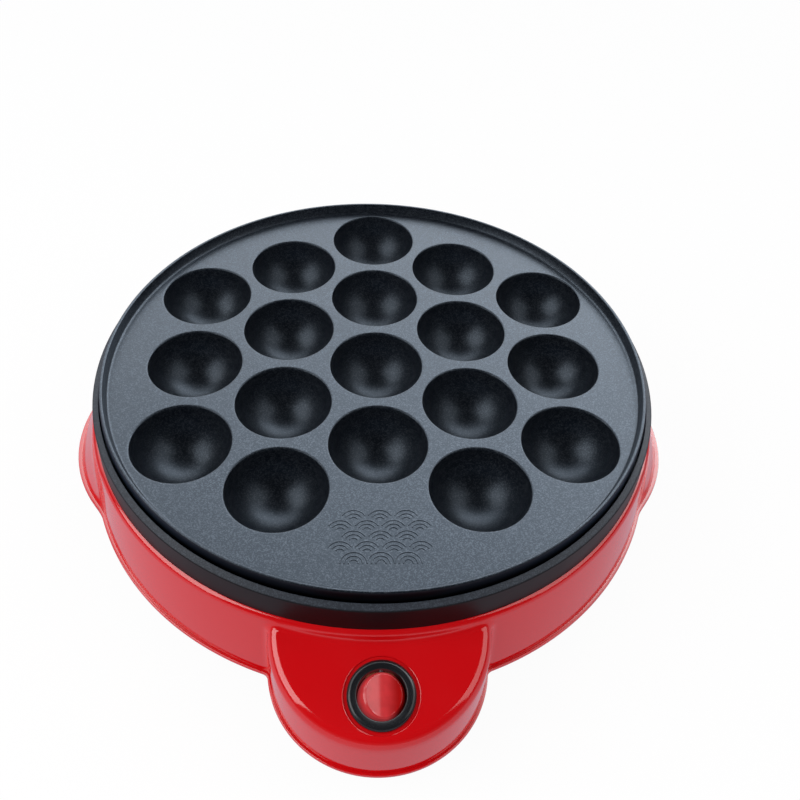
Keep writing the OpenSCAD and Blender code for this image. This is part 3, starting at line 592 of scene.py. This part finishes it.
def wave_relief(sizes):
    """A field of raised waves, an old textile pattern, for the flat in front. The waves behind
    the first row end where the row before them covers them."""
    r, high, flat = sizes.relief_r / MM, sizes.relief_h / MM, sizes.flat_z / MM
    field = bmesh.new()
    for row, count in enumerate(RELIEF_ROWS):
        y = (row - ROW_MIDDLE) * r * ROW_STEP
        joined(field, wave(r, high, flat, COVERED_CUT if row else FRONT_CUT),
               [((i - (count - 1) / 2) * 2 * r, y) for i in range(count)])
    return field


# ---------- the red housing ----------

BODY_Z, TOP_Z, SEAT_R = 19.4, 57.0, 117.3      # foot and top of the wall, edge under the ring
LIP_H, LIP_OUT = 2.0, 1.1                      # the lip round the foot
SHOULDER_R, SHOULDER_WALL = 2.5, 127.18        # rounding under the ring, and the wall below it
SHOULDER_Z, DRAFT = TOP_Z - SHOULDER_R, math.radians(6.5)
WALL_R = SHOULDER_WALL + (SHOULDER_Z - BODY_Z) * math.tan(DRAFT)
SWITCH = Vector((0, -146.1, 48.14))            # middle of the switch, on the lobe's top
SLOPE = math.radians(12)                       # how steeply that top falls to the front
LOBE_R, LOBE_FLARE, LOBE_ROUND = 42.0, 0.9, 4.2
LOBE_TIP, LOBE_LEAN, LOBE_TAPER = WALL_R + 32.45, 0.7, 1.74
LOBE_RISE = 23.0                               # height over which it leans and tapers so much
FLARE_UP, FLARE_STOP = 1.3, 1.4                # shares of it where the flare is 0, and is held
GRIP_HALF, GRIP_TIP, GRIP_TOP = 48.0, WALL_R + 10.1, SHOULDER_Z - 0.6
GRIP_FACE = 0.9                                # its face slopes, so a distance counts for less
GRIP_FILLET = 0.8                              # its fillet as a share of the lobe's
GRIP_SPAN = GRIP_HALF + 6                      # past this its arc would come back
FAR_OFF = 20                                   # a distance at which nothing melts together
INLET_Z, INLET_R, INLET_REACH = 35.4, 6.0, 8   # where the mains lead's bush goes through
HOUSING_CRISP, SLIVER = 38, 0.02               # hard edges, and edges too short to keep


def body_r(z):
    """Radius of the body's wall at a height."""
    return SHOULDER_WALL + (SHOULDER_Z - z) * math.tan(DRAFT)


def round_corner(a, b, r):
    """Distance to the meeting of two faces with a rounded outer corner."""
    u, v = np.maximum(a + r, 0), np.maximum(b + r, 0)
    return np.minimum(np.maximum(a, b), -r) + np.hypot(u, v)


def melt(a, b, k):
    """Union of two solids with a fillet about k wide."""
    h = np.maximum(k - np.abs(a - b), 0) / k
    return np.minimum(a, b) - h * h * k / 4


def lobe_plan(z):
    """The lobe's ellipse at a height: its middle and its two half widths."""
    share = (z - BODY_Z) / LOBE_RISE
    half_x = LOBE_R + LOBE_FLARE * (1 - np.clip(share, 0, FLARE_STOP) / FLARE_UP)
    half_y = LOBE_R + LOBE_FLARE - LOBE_TAPER * share
    return -(LOBE_TIP - LOBE_LEAN * share) + half_y, half_x, half_y


def lobe_top(y):
    """Height of the lobe's sloping top."""
    return SWITCH.z + math.tan(SLOPE) * (y - SWITCH.y)


def grip_reach(tip, wall, y):
    """Plan of a grip at one height: an arc over its tip that ends just inside the wall."""
    sag = tip - (math.sqrt(wall ** 2 - GRIP_HALF ** 2) - 1)
    r = (GRIP_HALF ** 2 + sag ** 2) / (2 * sag)
    return tip - r + np.sqrt(np.maximum(r * r - y * y, 1))


def housing_distance(p, k):
    """How far each point stands outside the moulding: body, lobe and grips, melted together."""
    x, y, z = p[..., 0], p[..., 1], p[..., 2]
    body = round_corner((np.hypot(x, y) - body_r(z)) * math.cos(DRAFT), z - TOP_Z, SHOULDER_R)
    mid, half_x, half_y = lobe_plan(z)
    wall = (np.hypot(x / half_x, (y - mid) / half_y) - 1) * LOBE_R
    top = -math.sin(SLOPE) * (y - SWITCH.y) + math.cos(SLOPE) * (z - SWITCH.z)
    lobe = round_corner(wall, top, LOBE_ROUND)
    share = (z - BODY_Z) / (GRIP_TOP - BODY_Z)
    low = grip_reach(GRIP_TIP, WALL_R, y)
    high = grip_reach(SHOULDER_WALL - 0.3, SHOULDER_WALL, y)
    grip = (np.abs(x) - low - (high - low) * share) * GRIP_FACE
    grip = np.maximum(grip, z - GRIP_TOP - 1)
    grip = np.where(np.abs(y) < GRIP_SPAN, grip, FAR_OFF)
    return melt(melt(body, lobe, k), grip, k * GRIP_FILLET)


PROBE = 0.02                       # half the stretch over which a slope is measured
ROUNDS, STRIDE, GRAZING = 14, 3, 0.15  # settling: its rounds, longest step and flattest angle


def slope_of(p, k):
    """The moulding's outward direction at each point."""
    g = np.stack([housing_distance(p + d, k) - housing_distance(p - d, k)
                  for d in np.eye(3) * PROBE], axis=-1) / (2 * PROBE)
    return g / np.maximum(np.linalg.norm(g, axis=-1, keepdims=True), 1e-9)


def settle(p, way, k, depth=0.0):
    """Moves points onto the moulding, or to a depth below it: along way, or where way is 0
    along the surface's own normal."""
    for _ in range(ROUNDS):
        g = slope_of(p, k)
        free = np.linalg.norm(way, axis=-1, keepdims=True) < 0.5
        d = np.where(free, g, way)
        facing = np.sum(g * d, axis=-1)
        facing = np.where(np.abs(facing) < GRAZING, GRAZING, facing)
        step = -(housing_distance(p, k) + depth) / facing
        p = p + np.clip(step, -STRIDE, STRIDE)[..., None] * d
    return p


def corner_azimuth(z):
    """Where the lobe's side leaves the body, as an azimuth from the front, and on the lobe."""
    mid, half_x, _ = lobe_plan(z)
    r, c = body_r(z), -mid
    phi = math.acos((r * r + c * c - half_x ** 2) / (2 * r * c))
    return phi, math.atan2(r * math.sin(phi), r * math.cos(phi) - c)


def lobe_edge(beta, s):
    """A point of the rounding between the lobe's wall, where s is 0, and its top, where s is 1."""
    z = SWITCH.z
    for _ in range(6):
        mid, half_x, half_y = lobe_plan(z)
        rim = Vector((half_x * math.sin(beta), mid - half_y * math.cos(beta), z))
        z = lobe_top(rim.y)
    rim.z = z
    side = Vector((math.sin(beta) / half_x, -math.cos(beta) / half_y, 0)).normalized()
    top = Vector((0, -math.sin(SLOPE), math.cos(SLOPE)))
    middle = rim - (side + top) * (LOBE_ROUND / (1 + side.dot(top)))
    return middle + side.slerp(top, s) * LOBE_ROUND


@lru_cache(None)
def junction(s):
    """How far round the lobe its rounding reaches before it meets the body's wall."""
    low, high = 1.0, 2.2
    for _ in range(45):
        beta = (low + high) / 2
        p = lobe_edge(beta, s)
        if math.hypot(p.x, p.y) > body_r(p.z):
            low = beta
        else:
            high = beta
    return low


# A strip of the shell has this many points up its wall, over the lobe's rounding and top, up
# the body above them and over its shoulder.
WALL_ROWS, UPPER_ROWS = 9, 9
EDGE_STEPS = [float(s) for s in np.linspace(0, 1, 11)]
TOP_STEPS = np.sin(np.linspace(0, 1, 13)[1:] * math.pi / 2)
SHOULDER_TURNS = np.linspace(10, 84, 7)
EDGE_GAP = 0.3                     # from the last point of the wall to the rounding
MEETING = 0.03                     # share of the body's strips that bend with the lobe's edge


def lobe_column(t):
    """One strip over the lobe, from its foot up, in over its top and up the body. t is -1 to 1."""
    rows, ways = [], []
    start = lobe_edge(t * junction(0.0), 0.0).z - EDGE_GAP
    for h in np.linspace(BODY_Z + LIP_H, start, WALL_ROWS):
        _, b = corner_azimuth(h)
        mid, half_x, half_y = lobe_plan(h)
        rows.append((half_x * math.sin(b * t), mid - half_y * math.cos(b * t), h))
        ways.append((math.sin(b * t), -math.cos(b * t), 0))
    rows += [tuple(lobe_edge(t * junction(s), s)) for s in EDGE_STEPS]
    x, y, end_z = rows[-1]
    for _ in range(8):
        end_y = -math.sqrt(body_r(end_z) ** 2 - x * x)
        end_z = lobe_top(end_y)
    for share in TOP_STEPS:
        q = min(y, end_y) + (end_y - min(y, end_y)) * share
        rows.append((x, q, lobe_top(q)))
    upper_rows(rows, ways, math.atan2(x, -end_y), end_z)
    return rows, ways


def body_column(t):
    """One strip up the body's wall. t runs from 0 at one side of the lobe to 1 at the other."""
    rows, ways = [], []
    edge = [lobe_edge(junction(s), s) for s in EDGE_STEPS]
    heights = list(np.linspace(BODY_Z + LIP_H, edge[0].z - EDGE_GAP, WALL_ROWS))
    turns = [corner_azimuth(h)[0] for h in heights]
    heights += [p.z for p in edge] + [edge[-1].z] * len(TOP_STEPS)
    bends = [math.atan2(p.x, -p.y) for p in edge]
    turns += bends + [bends[-1]] * len(TOP_STEPS)
    near, far = max(0, 1 - t / MEETING), max(0, 1 - (1 - t) / MEETING)
    for h, bend in zip(heights, turns):
        phi = max(bend, bends[0])
        az = phi + t * (TAU - 2 * phi) + (phi - bend) * (far - near)
        rows.append((body_r(h) * math.sin(az), -body_r(h) * math.cos(az), h))
        level = (math.sin(az), -math.cos(az), 0)
        ways.append(level if len(rows) <= WALL_ROWS else (0, 0, 0))
    upper_rows(rows, ways, az, h)
    return rows, ways


def upper_rows(rows, ways, az, foot_z):
    """The rest of a strip: up the body's wall, over its shoulder and in under the ring."""
    s, c = math.sin(az), -math.cos(az)
    for h in np.linspace(foot_z, SHOULDER_Z, UPPER_ROWS)[1:-1]:
        rows.append((body_r(h) * s, body_r(h) * c, h))
    inner = SHOULDER_WALL - SHOULDER_R
    for a in np.radians(SHOULDER_TURNS):
        r = inner + SHOULDER_R * math.cos(a)
        rows.append((r * s, r * c, SHOULDER_Z + SHOULDER_R * math.sin(a)))
    for r in (inner - 0.3, SEAT_R):
        rows.append((r * s, r * c, TOP_Z))
    ways += [(0, 0, 0)] * (len(rows) - len(ways) - 2) + [(0, 0, 1)] * 2


def spread(start, end, steps, knots):
    """Even values from start to end, with more of them near each knot."""
    values = set(np.linspace(start, end, steps + 1))
    for knot, reach, extra in knots:
        values |= set(np.linspace(max(start, knot - reach), min(end, knot + reach), extra))
    return sorted(values)


def shell_strips():
    """Every strip of the shell, closer together at the grips' ends and beside the lobe."""
    phi, _ = corner_azimuth(BODY_Z)
    crease = math.asin(GRIP_HALF / WALL_R)
    knots = [((side + s * crease - phi) / (TAU - 2 * phi), 0.006, 9)
             for side in (TAU / 4, TAU * 3 / 4) for s in (-1, 1)]
    knots += [(0, 0.012, 9), (1, 0.012, 9)]
    return ([lobe_column(t) for t in spread(-1, 1, 72, [(-1, 0.08, 8), (1, 0.08, 8)])]
            + [body_column(t) for t in spread(0, 1, 220, knots)[1:-1]])


def moulding_skin(k, wall):
    """The housing's closed shell as rows of points: lip, outer skin, brim and inner skin."""
    strips = shell_strips()
    p = np.array([rows for rows, _ in strips]).transpose(1, 0, 2)
    way = np.array([ways for _, ways in strips], float).transpose(1, 0, 2)
    foot = p[0].copy()
    foot[:, 2] = BODY_Z
    p, foot = settle(p, way, k), settle(foot[None], way[:1], k)[0]
    out = slope_of(foot[None], k)[0] * [1, 1, 0]
    out /= np.linalg.norm(out, axis=1, keepdims=True)
    lip = [foot + out * o + [0, 0, h] for o, h in
           ((-wall, 0), (LIP_OUT - 0.3, 0), (LIP_OUT - 0.08, 0.08), (LIP_OUT, 0.3),
            (LIP_OUT, LIP_H - 0.5), (LIP_OUT - 0.12, LIP_H - 0.15), (LIP_OUT - 0.4, LIP_H))]
    inner = settle(p[:-1] - slope_of(p[:-1], k) * wall, way[:-1] * [1, 1, 0], k, wall)
    brim = p[-1:] - [0, 0, wall]
    return np.concatenate([np.array(lip), p, brim, inner[::-1]])


def red_housing(sizes):
    """The shell as a grid, whose last row and column close onto the first."""
    skin = moulding_skin(sizes.fillet / MM, sizes.wall / MM)
    rows, columns = skin.shape[:2]
    bm = bmesh.new()
    bmesh.ops.create_grid(bm, x_segments=columns, y_segments=rows, size=1)
    for i, v in enumerate(bm.verts):
        v.co = skin[i // (columns + 1) % rows, i % (columns + 1) % columns]
    bmesh.ops.remove_doubles(bm, verts=bm.verts, dist=MERGE)
    bmesh.ops.dissolve_degenerate(bm, edges=bm.edges, dist=SLIVER)
    return bm


def inlet_cutter():
    """Takes the hole for the mains lead's bush from the rear wall."""
    bm = bmesh.new()
    peg(bm, 0, 0, -INLET_REACH, INLET_REACH, INLET_R)
    place = Matrix.Translation((0, body_r(INLET_Z), INLET_Z)) @ Matrix.Rotation(TAU / 4, 4, "X")
    return finish_mesh(bm, "inlet_cutter", place)


# ---------- the ring ----------

RING_R, RING_FOOT_R, RING_INNER_R = 124.6, 125.2, 121.7
RING_SEAT_Z, RING_CAVITY_Z = 64.0, 61.5    # under the plate's edge, and inside its two walls
RING_WALL, RING_INNER_WALL = 2.5, 2.0
LEDGE_Z, LEDGE_TOP_Z = 69.0, 69.8          # the ledge rises from its outer to its inner edge


def plate_ring(steps):
    """The ring: an inner and an outer wall, the plate's seat, and a ledge round the plate."""
    inner, outer = SEAT_R + RING_INNER_WALL, RING_R - RING_WALL
    bm = bmesh.new()
    turn(bm, [(SEAT_R, TOP_Z), (inner, TOP_Z), (inner, RING_CAVITY_Z), (outer, RING_CAVITY_Z),
              (outer, TOP_Z), (RING_FOOT_R, TOP_Z)]
         + arc(RING_R - 1.0, LEDGE_Z - 1.0, 1.0, 0, 80, 6)
         + arc(RING_INNER_R + 0.3, LEDGE_TOP_Z - 0.3, 0.3, 90, 180, 3)
         + [(RING_INNER_R, RING_SEAT_Z), (SEAT_R, RING_SEAT_Z)], steps)
    return bm


# ---------- the switch ----------

OPENING_R, BARREL_R, BEZEL_R = 9.0, 10.0, 12.25
BEZEL_UNDER, BARREL_END, MOUTH = -0.6, -15, 0.45
PIVOT_DEPTH, ROCKER_R, FACE_R, VALLEY = 3.6, 8.7, 19.0, 3.9
ROCKER_FOOT, ROCKER_EDGE = -3, 0.45
NOSE_R, NOSE_Z = 2.2, -6.8
AT_REST = math.radians(9)                      # how far the rocker leans at rest


def switch_place():
    """From a drawing round the z axis to the switch's place on the sloping top."""
    return Matrix.Translation(SWITCH) @ Matrix.Rotation(SLOPE, 4, "X")


def rocker_place():
    """The same for the rocker, whose drawing has its pivot at the origin."""
    return (switch_place() @ Matrix.Translation((0, 0, -PIVOT_DEPTH))
            @ Matrix.Rotation(AT_REST, 4, "Y"))


def switch_cutter(r):
    """Takes the switch's recess, with a rounded mouth, and its barrel's hole from the lobe."""
    hole = BARREL_R + 0.1
    bm = bmesh.new()
    turn(bm, [(0, -14), (hole, -14), (hole, BEZEL_UNDER), (r, BEZEL_UNDER)]
         + arc(r + MOUTH, -MOUTH, MOUTH, 180, 98, 5) + [(r + 0.39, 6), (0, 6)], 128,
         closed=False)
    return finish_mesh(bm, "switch_cutter", switch_place())


def switch_frame():
    """The bezel's rounded crown and the barrel below it."""
    bm = bmesh.new()
    crown = arc(OPENING_R + 0.5, 0.95, 0.5, 180, 100, 4) + arc(10.9, -0.2, 1.7, 100, 15, 8)
    turn(bm, [(OPENING_R, BARREL_END), (OPENING_R, 0.6)] + crown
         + [(BEZEL_R, 0.0), (BEZEL_R, BEZEL_UNDER), (BARREL_R, BEZEL_UNDER),
            (BARREL_R, BARREL_END)], 96)
    return bm


def rocker_ball(rho):
    """Height of the rocker's ball above its pivot, at a distance from its axis."""
    return math.sqrt(max(ROCKER_R ** 2 - rho * rho, 0))


def rocker_face(x):
    """Height of the rocker's hollow face above its pivot."""
    return VALLEY + FACE_R - math.sqrt(FACE_R ** 2 - x * x)


def face_reach(c):
    """How far out the ball meets the face, in the direction whose cosine is c."""
    low, high = 0.0, ROCKER_R
    for _ in range(40):
        rho = (low + high) / 2
        if rocker_ball(rho) > rocker_face(rho * c):
            low = rho
        else:
            high = rho
    return low


def rocker_button():
    """A ball zone with a hollow across its face, and the nose below it. It starts as a disc
    with a skirt, which is bent onto the face and the ball."""
    bm = bmesh.new()
    turn(bm, [(i / 14, 0) for i in range(15)] + [(1, -i / 12) for i in range(1, 13)], 96,
         closed=False)
    for v in bm.verts:
        share = math.hypot(v.co.x, v.co.y)
        c, s = (v.co.x / share, v.co.y / share) if share > 1e-6 else (1.0, 0.0)
        reach = face_reach(c)
        if v.co.z > -1e-6:
            rho = reach * share
            z = rocker_face(rho * c)
        else:
            top = rocker_ball(reach)
            z = top - (ROCKER_FOOT - top) * v.co.z
            rho = math.sqrt(ROCKER_R ** 2 - z * z)
        v.co = (rho * c, rho * s, z)
    rim = [e for e in bm.edges if len(e.link_faces) == 2 and e.calc_face_angle(0) > 0.5]
    bmesh.ops.bevel(bm, geom=rim, offset=ROCKER_EDGE, offset_type="OFFSET", segments=4,
                    profile=0.5, affect="EDGES", clamp_overlap=True, material=-1)
    bmesh.ops.holes_fill(bm, edges=open_edges(bm), sides=0)
    nose = bmesh.ops.create_uvsphere(bm, u_segments=24, v_segments=16, radius=NOSE_R)["verts"]
    bmesh.ops.translate(bm, verts=nose, vec=(0, 0, NOSE_Z))
    peg(bm, 0, 0, NOSE_Z, ROCKER_FOOT + 0.1, NOSE_R)
    return bm


# ---------- the stage ----------

FLOOR_HALF = 8
LIT_POINT = 0, 0.016, 0.05             # what the soft boxes are aimed at
BOX_SIDE = 1.0
RIGHT_BOX, RIGHT_POWER = (0.95, -0.20, 0.90), 4.3
LEFT_BOX, LEFT_POWER = (-0.97, -0.28, 0.86), 9.0
# The floor has a tone of its own over a matt floor, which holds the shadow. The tone is one
# thing for the camera, another in mirror images and a third for all other light, and its
# share is larger for the first two.
FLOOR_SEEN, FLOOR_MIRRORED, FLOOR_OTHER = (1.02, 1.02, 1.02), (0.58, 0.47, 0.54), (0.95,) * 3
SHARE_SEEN, SHARE_OTHER = 0.93, 0.45
# The sky: white for the camera, an even fill for the light on the object, and in mirror
# images dark, with a glow low behind the object.
SKY_SEEN, SKY_FILL = (1.0, 1.0, 1.0), (0.38, 0.38, 0.40)
SKY_LOW, SKY_HIGH, SKY_GLOW = (0.16, 0.165, 0.18), (0.010, 0.011, 0.013), (5.5, 5.7, 5.9)
# The camera, in millimetres from the foot of the axis, and its turn round the axis.
CAMERA_PLACE = Vector((-15.55, -276.3, 341.65))
CAMERA_AHEAD = Vector((0.0678, 0.6814, -0.7288))
CAMERA_RIGHT = Vector((0.99768, -0.05084, 0.04528))
CAMERA_TURN, CAMERA_LENS, SENSOR = math.radians(0.85), 38.28, 36


def floor_finish(c):
    """White where the camera sees it, softer in mirror images, matt for all other light."""
    f = Finish("studio_floor")
    eye = f.node("LightPath", output="Is Camera Ray")
    mirror = (f.node("LightPath", output="Is Glossy Ray")
              + f.node("LightPath", output="Is Transmission Ray"))
    cloud = f.noise(2, 2)
    matt = f.node("BsdfDiffuse", inputs={
        "Color": f.mix(cloud * 0.2, c.floor, brighter(c.floor, 0.98))})
    tone = f.mix(mirror.held(), f.mix(eye, FLOOR_OTHER, FLOOR_SEEN), FLOOR_MIRRORED)
    white = f.node("Emission", inputs={"Color": tone, "Strength": 1.0})
    share = (eye + mirror).held() * (SHARE_SEEN - SHARE_OTHER) + SHARE_OTHER
    return f.close(f.node("MixShader", inputs={0: share, 1: matt, 2: white}))


def studio_floor(c):
    """A wide floor that isn't part of the object."""
    bm = bmesh.new()
    bmesh.ops.create_grid(bm, x_segments=2, y_segments=2, size=FLOOR_HALF)
    mesh = bpy.data.meshes.new("floor")
    bm.to_mesh(mesh)
    bm.free()
    mesh.materials.append(floor_finish(c))
    floor = linked("floor", mesh)


def studio_sky():
    """The world: its tones follow the direction of a ray and what the ray is for."""
    f = Finish("studio", "worlds")
    ray = f.node("TexCoord", output="Generated")
    right, behind, up = (f.node("SeparateXYZ", inputs={0: ray}, output=a) for a in "XYZ")
    glow = (behind.steps(0.10, 0.6) * (1 - up.steps(0.83, 1.0)) * up.steps(0.12, 0.45)
            * (right * 0.5 + 0.8))
    mirrored = f.mix(glow.held(), f.mix(up.steps(0.0, 0.4), SKY_LOW, SKY_HIGH), SKY_GLOW)
    eye = f.node("LightPath", output="Is Camera Ray")
    shine = f.node("LightPath", output="Is Glossy Ray")
    tone = f.mix(eye, f.mix(shine, SKY_FILL, mirrored), SKY_SEEN)
    return f.close(f.node("Background", inputs={"Color": tone, "Strength": 1.0}))


def soft_box(name, place, power):
    """A square lamp aimed at the object."""
    lamp = bpy.data.lights.new(name, "AREA")
    lamp.shape, lamp.size, lamp.size_y = "RECTANGLE", BOX_SIDE, BOX_SIDE
    lamp.energy = power
    box = linked(name, lamp)
    box.location = place
    aim = Vector(LIT_POINT) - Vector(place)
    box.rotation_euler = aim.to_track_quat("-Z", "Y").to_euler()


def studio_camera():
    """The camera at the photograph's viewing angle."""
    lens = bpy.data.cameras.new("camera")
    lens.sensor_width, lens.lens, lens.clip_start = SENSOR, CAMERA_LENS, 0.01
    eye = linked("camera", lens)
    ahead = CAMERA_AHEAD.normalized()
    side = (CAMERA_RIGHT - ahead * CAMERA_RIGHT.dot(ahead)).normalized()
    turned = Matrix((side, side.cross(ahead), -ahead)).transposed().to_4x4()
    seen = Matrix.Translation(CAMERA_PLACE * MM) @ turned
    eye.matrix_world = (Matrix.Translation(AXIS) @ Matrix.Rotation(CAMERA_TURN, 4, "Z")
                        @ seen)
    return eye


# ---------- operators ----------


def choices(context):
    """The sizes and colours that the panel shows."""
    return context.scene.takoyaki_sizes, context.scene.takoyaki_colours


class TAKOYAKI_OT_stage(bpy.types.Operator):
    """Set up the pale floor, the soft studio light and the camera"""
    bl_idname = "takoyaki.stage"
    bl_label = "Studio stage"
    bl_options = {"REGISTER", "UNDO"}

    def execute(self, context):
        _, colours = choices(context)
        studio_floor(colours)
        soft_box("right_box", RIGHT_BOX, RIGHT_POWER)
        soft_box("left_box", LEFT_BOX, LEFT_POWER)
        context.scene.world = studio_sky()
        context.scene.camera = studio_camera()
        context.scene.view_settings.view_transform = "Standard"
        return {"FINISHED"}


class TAKOYAKI_OT_plate(bpy.types.Operator):
    """Build the cast plate with its hollows, its rim and the wave relief"""
    bl_idname = "takoyaki.plate"
    bl_label = "Cooking plate"
    bl_options = {"REGISTER", "UNDO"}

    def execute(self, context):
        sizes, colours = choices(context)
        dress(finish_mesh(cast_plate(sizes), "cast_plate", crisp=PLATE_CRISP),
              nonstick(colours), "base", "nonstick_cast", "cooking_plate")
        return {"FINISHED"}


class TAKOYAKI_OT_ring(bpy.types.Operator):
    """Build the black ring round the plate"""
    bl_idname = "takoyaki.ring"
    bl_label = "Plate ring"
    bl_options = {"REGISTER", "UNDO"}

    def execute(self, context):
        sizes, colours = choices(context)
        dress(finish_mesh(plate_ring(sizes.rings), "plate_ring_body"),
              ring_plastic(colours), "base", "ring_black", "plate_ring")
        return {"FINISHED"}


class TAKOYAKI_OT_housing(bpy.types.Operator):
    """Build the red housing with its lobe, grips and lip"""
    bl_idname = "takoyaki.housing"
    bl_label = "Red housing"
    bl_options = {"REGISTER", "UNDO"}

    def execute(self, context):
        sizes, colours = choices(context)
        piece = finish_mesh(red_housing(sizes), "red_housing")
        carve(piece, switch_cutter(sizes.recess_r / MM), HOUSING_CRISP)
        carve(piece, inlet_cutter(), HOUSING_CRISP)
        dress(piece, red_plastic(colours), "base", "red_gloss", "upper_housing")
        return {"FINISHED"}


class TAKOYAKI_OT_switch(bpy.types.Operator):
    """Build the switch's frame and its lit rocker"""
    bl_idname = "takoyaki.switch"
    bl_label = "Rocker switch"
    bl_options = {"REGISTER", "UNDO"}

    def execute(self, context):
        _, colours = choices(context)
        dress(finish_mesh(switch_frame(), "switch_frame", switch_place()),
              moulded_black("satin_bezel", colours.bezel, 0.24, 0.08, 1400),
              "base", "bezel_black", "switch_bezel")
        dress(finish_mesh(rocker_button(), "rocker_button", rocker_place()),
              lit_rocker_painted_shade(colours), "rocker", "rocker_red", "rocker")
        return {"FINISHED"}


class TAKOYAKI_OT_finishes(bpy.types.Operator):
    """Give every CAD node that still shows its own finish"""
    bl_idname = "takoyaki.finishes"
    bl_label = "Finishes of the inner parts"
    bl_options = {"REGISTER", "UNDO"}

    def execute(self, context):
        _, colours = choices(context)
        made = inner_finishes(colours)
        slots = {s["node"]: s["material_slot"] for s in frame["record"]["subparts"]}
        for name, node in frame["nodes"].items():
            if slots.get(name) in made:
                for place in node.material_slots:
                    place.material = made[slots[name]]
        return {"FINISHED"}


class TAKOYAKI_PT_panel(bpy.types.Panel):
    """Lists the sizes, the colours and the builders of the takoyaki maker"""
    bl_idname = "TAKOYAKI_PT_panel"
    bl_label = "Takoyaki maker"
    bl_space_type = "VIEW_3D"
    bl_region_type = "UI"
    bl_category = "Takoyaki"

    def draw(self, context):
        for group in choices(context):
            for key in type(group).__annotations__:
                self.layout.prop(group, key)
        for builder in BUILDERS:
            self.layout.operator(builder.bl_idname)


BUILDERS = (TAKOYAKI_OT_stage, TAKOYAKI_OT_plate, TAKOYAKI_OT_ring, TAKOYAKI_OT_housing,
            TAKOYAKI_OT_switch, TAKOYAKI_OT_finishes)
CLASSES = (TakoyakiSizes, TakoyakiColours, *BUILDERS, TAKOYAKI_PT_panel)


def register():
    for cls in CLASSES:
        bpy.utils.register_class(cls)
    bpy.types.Scene.takoyaki_sizes = PointerProperty(type=TakoyakiSizes)
    bpy.types.Scene.takoyaki_colours = PointerProperty(type=TakoyakiColours)


def unregister():
    del bpy.types.Scene.takoyaki_sizes
    del bpy.types.Scene.takoyaki_colours
    for cls in reversed(CLASSES):
        bpy.utils.unregister_class(cls)


def main():
    register()
    bpy.ops.takoyaki.stage()
    bpy.ops.takoyaki.plate()
    bpy.ops.takoyaki.ring()
    bpy.ops.takoyaki.housing()
    bpy.ops.takoyaki.switch()
    bpy.ops.takoyaki.finishes()
    bpy.context.view_layer.update()


if __name__ == "__main__":
    main()
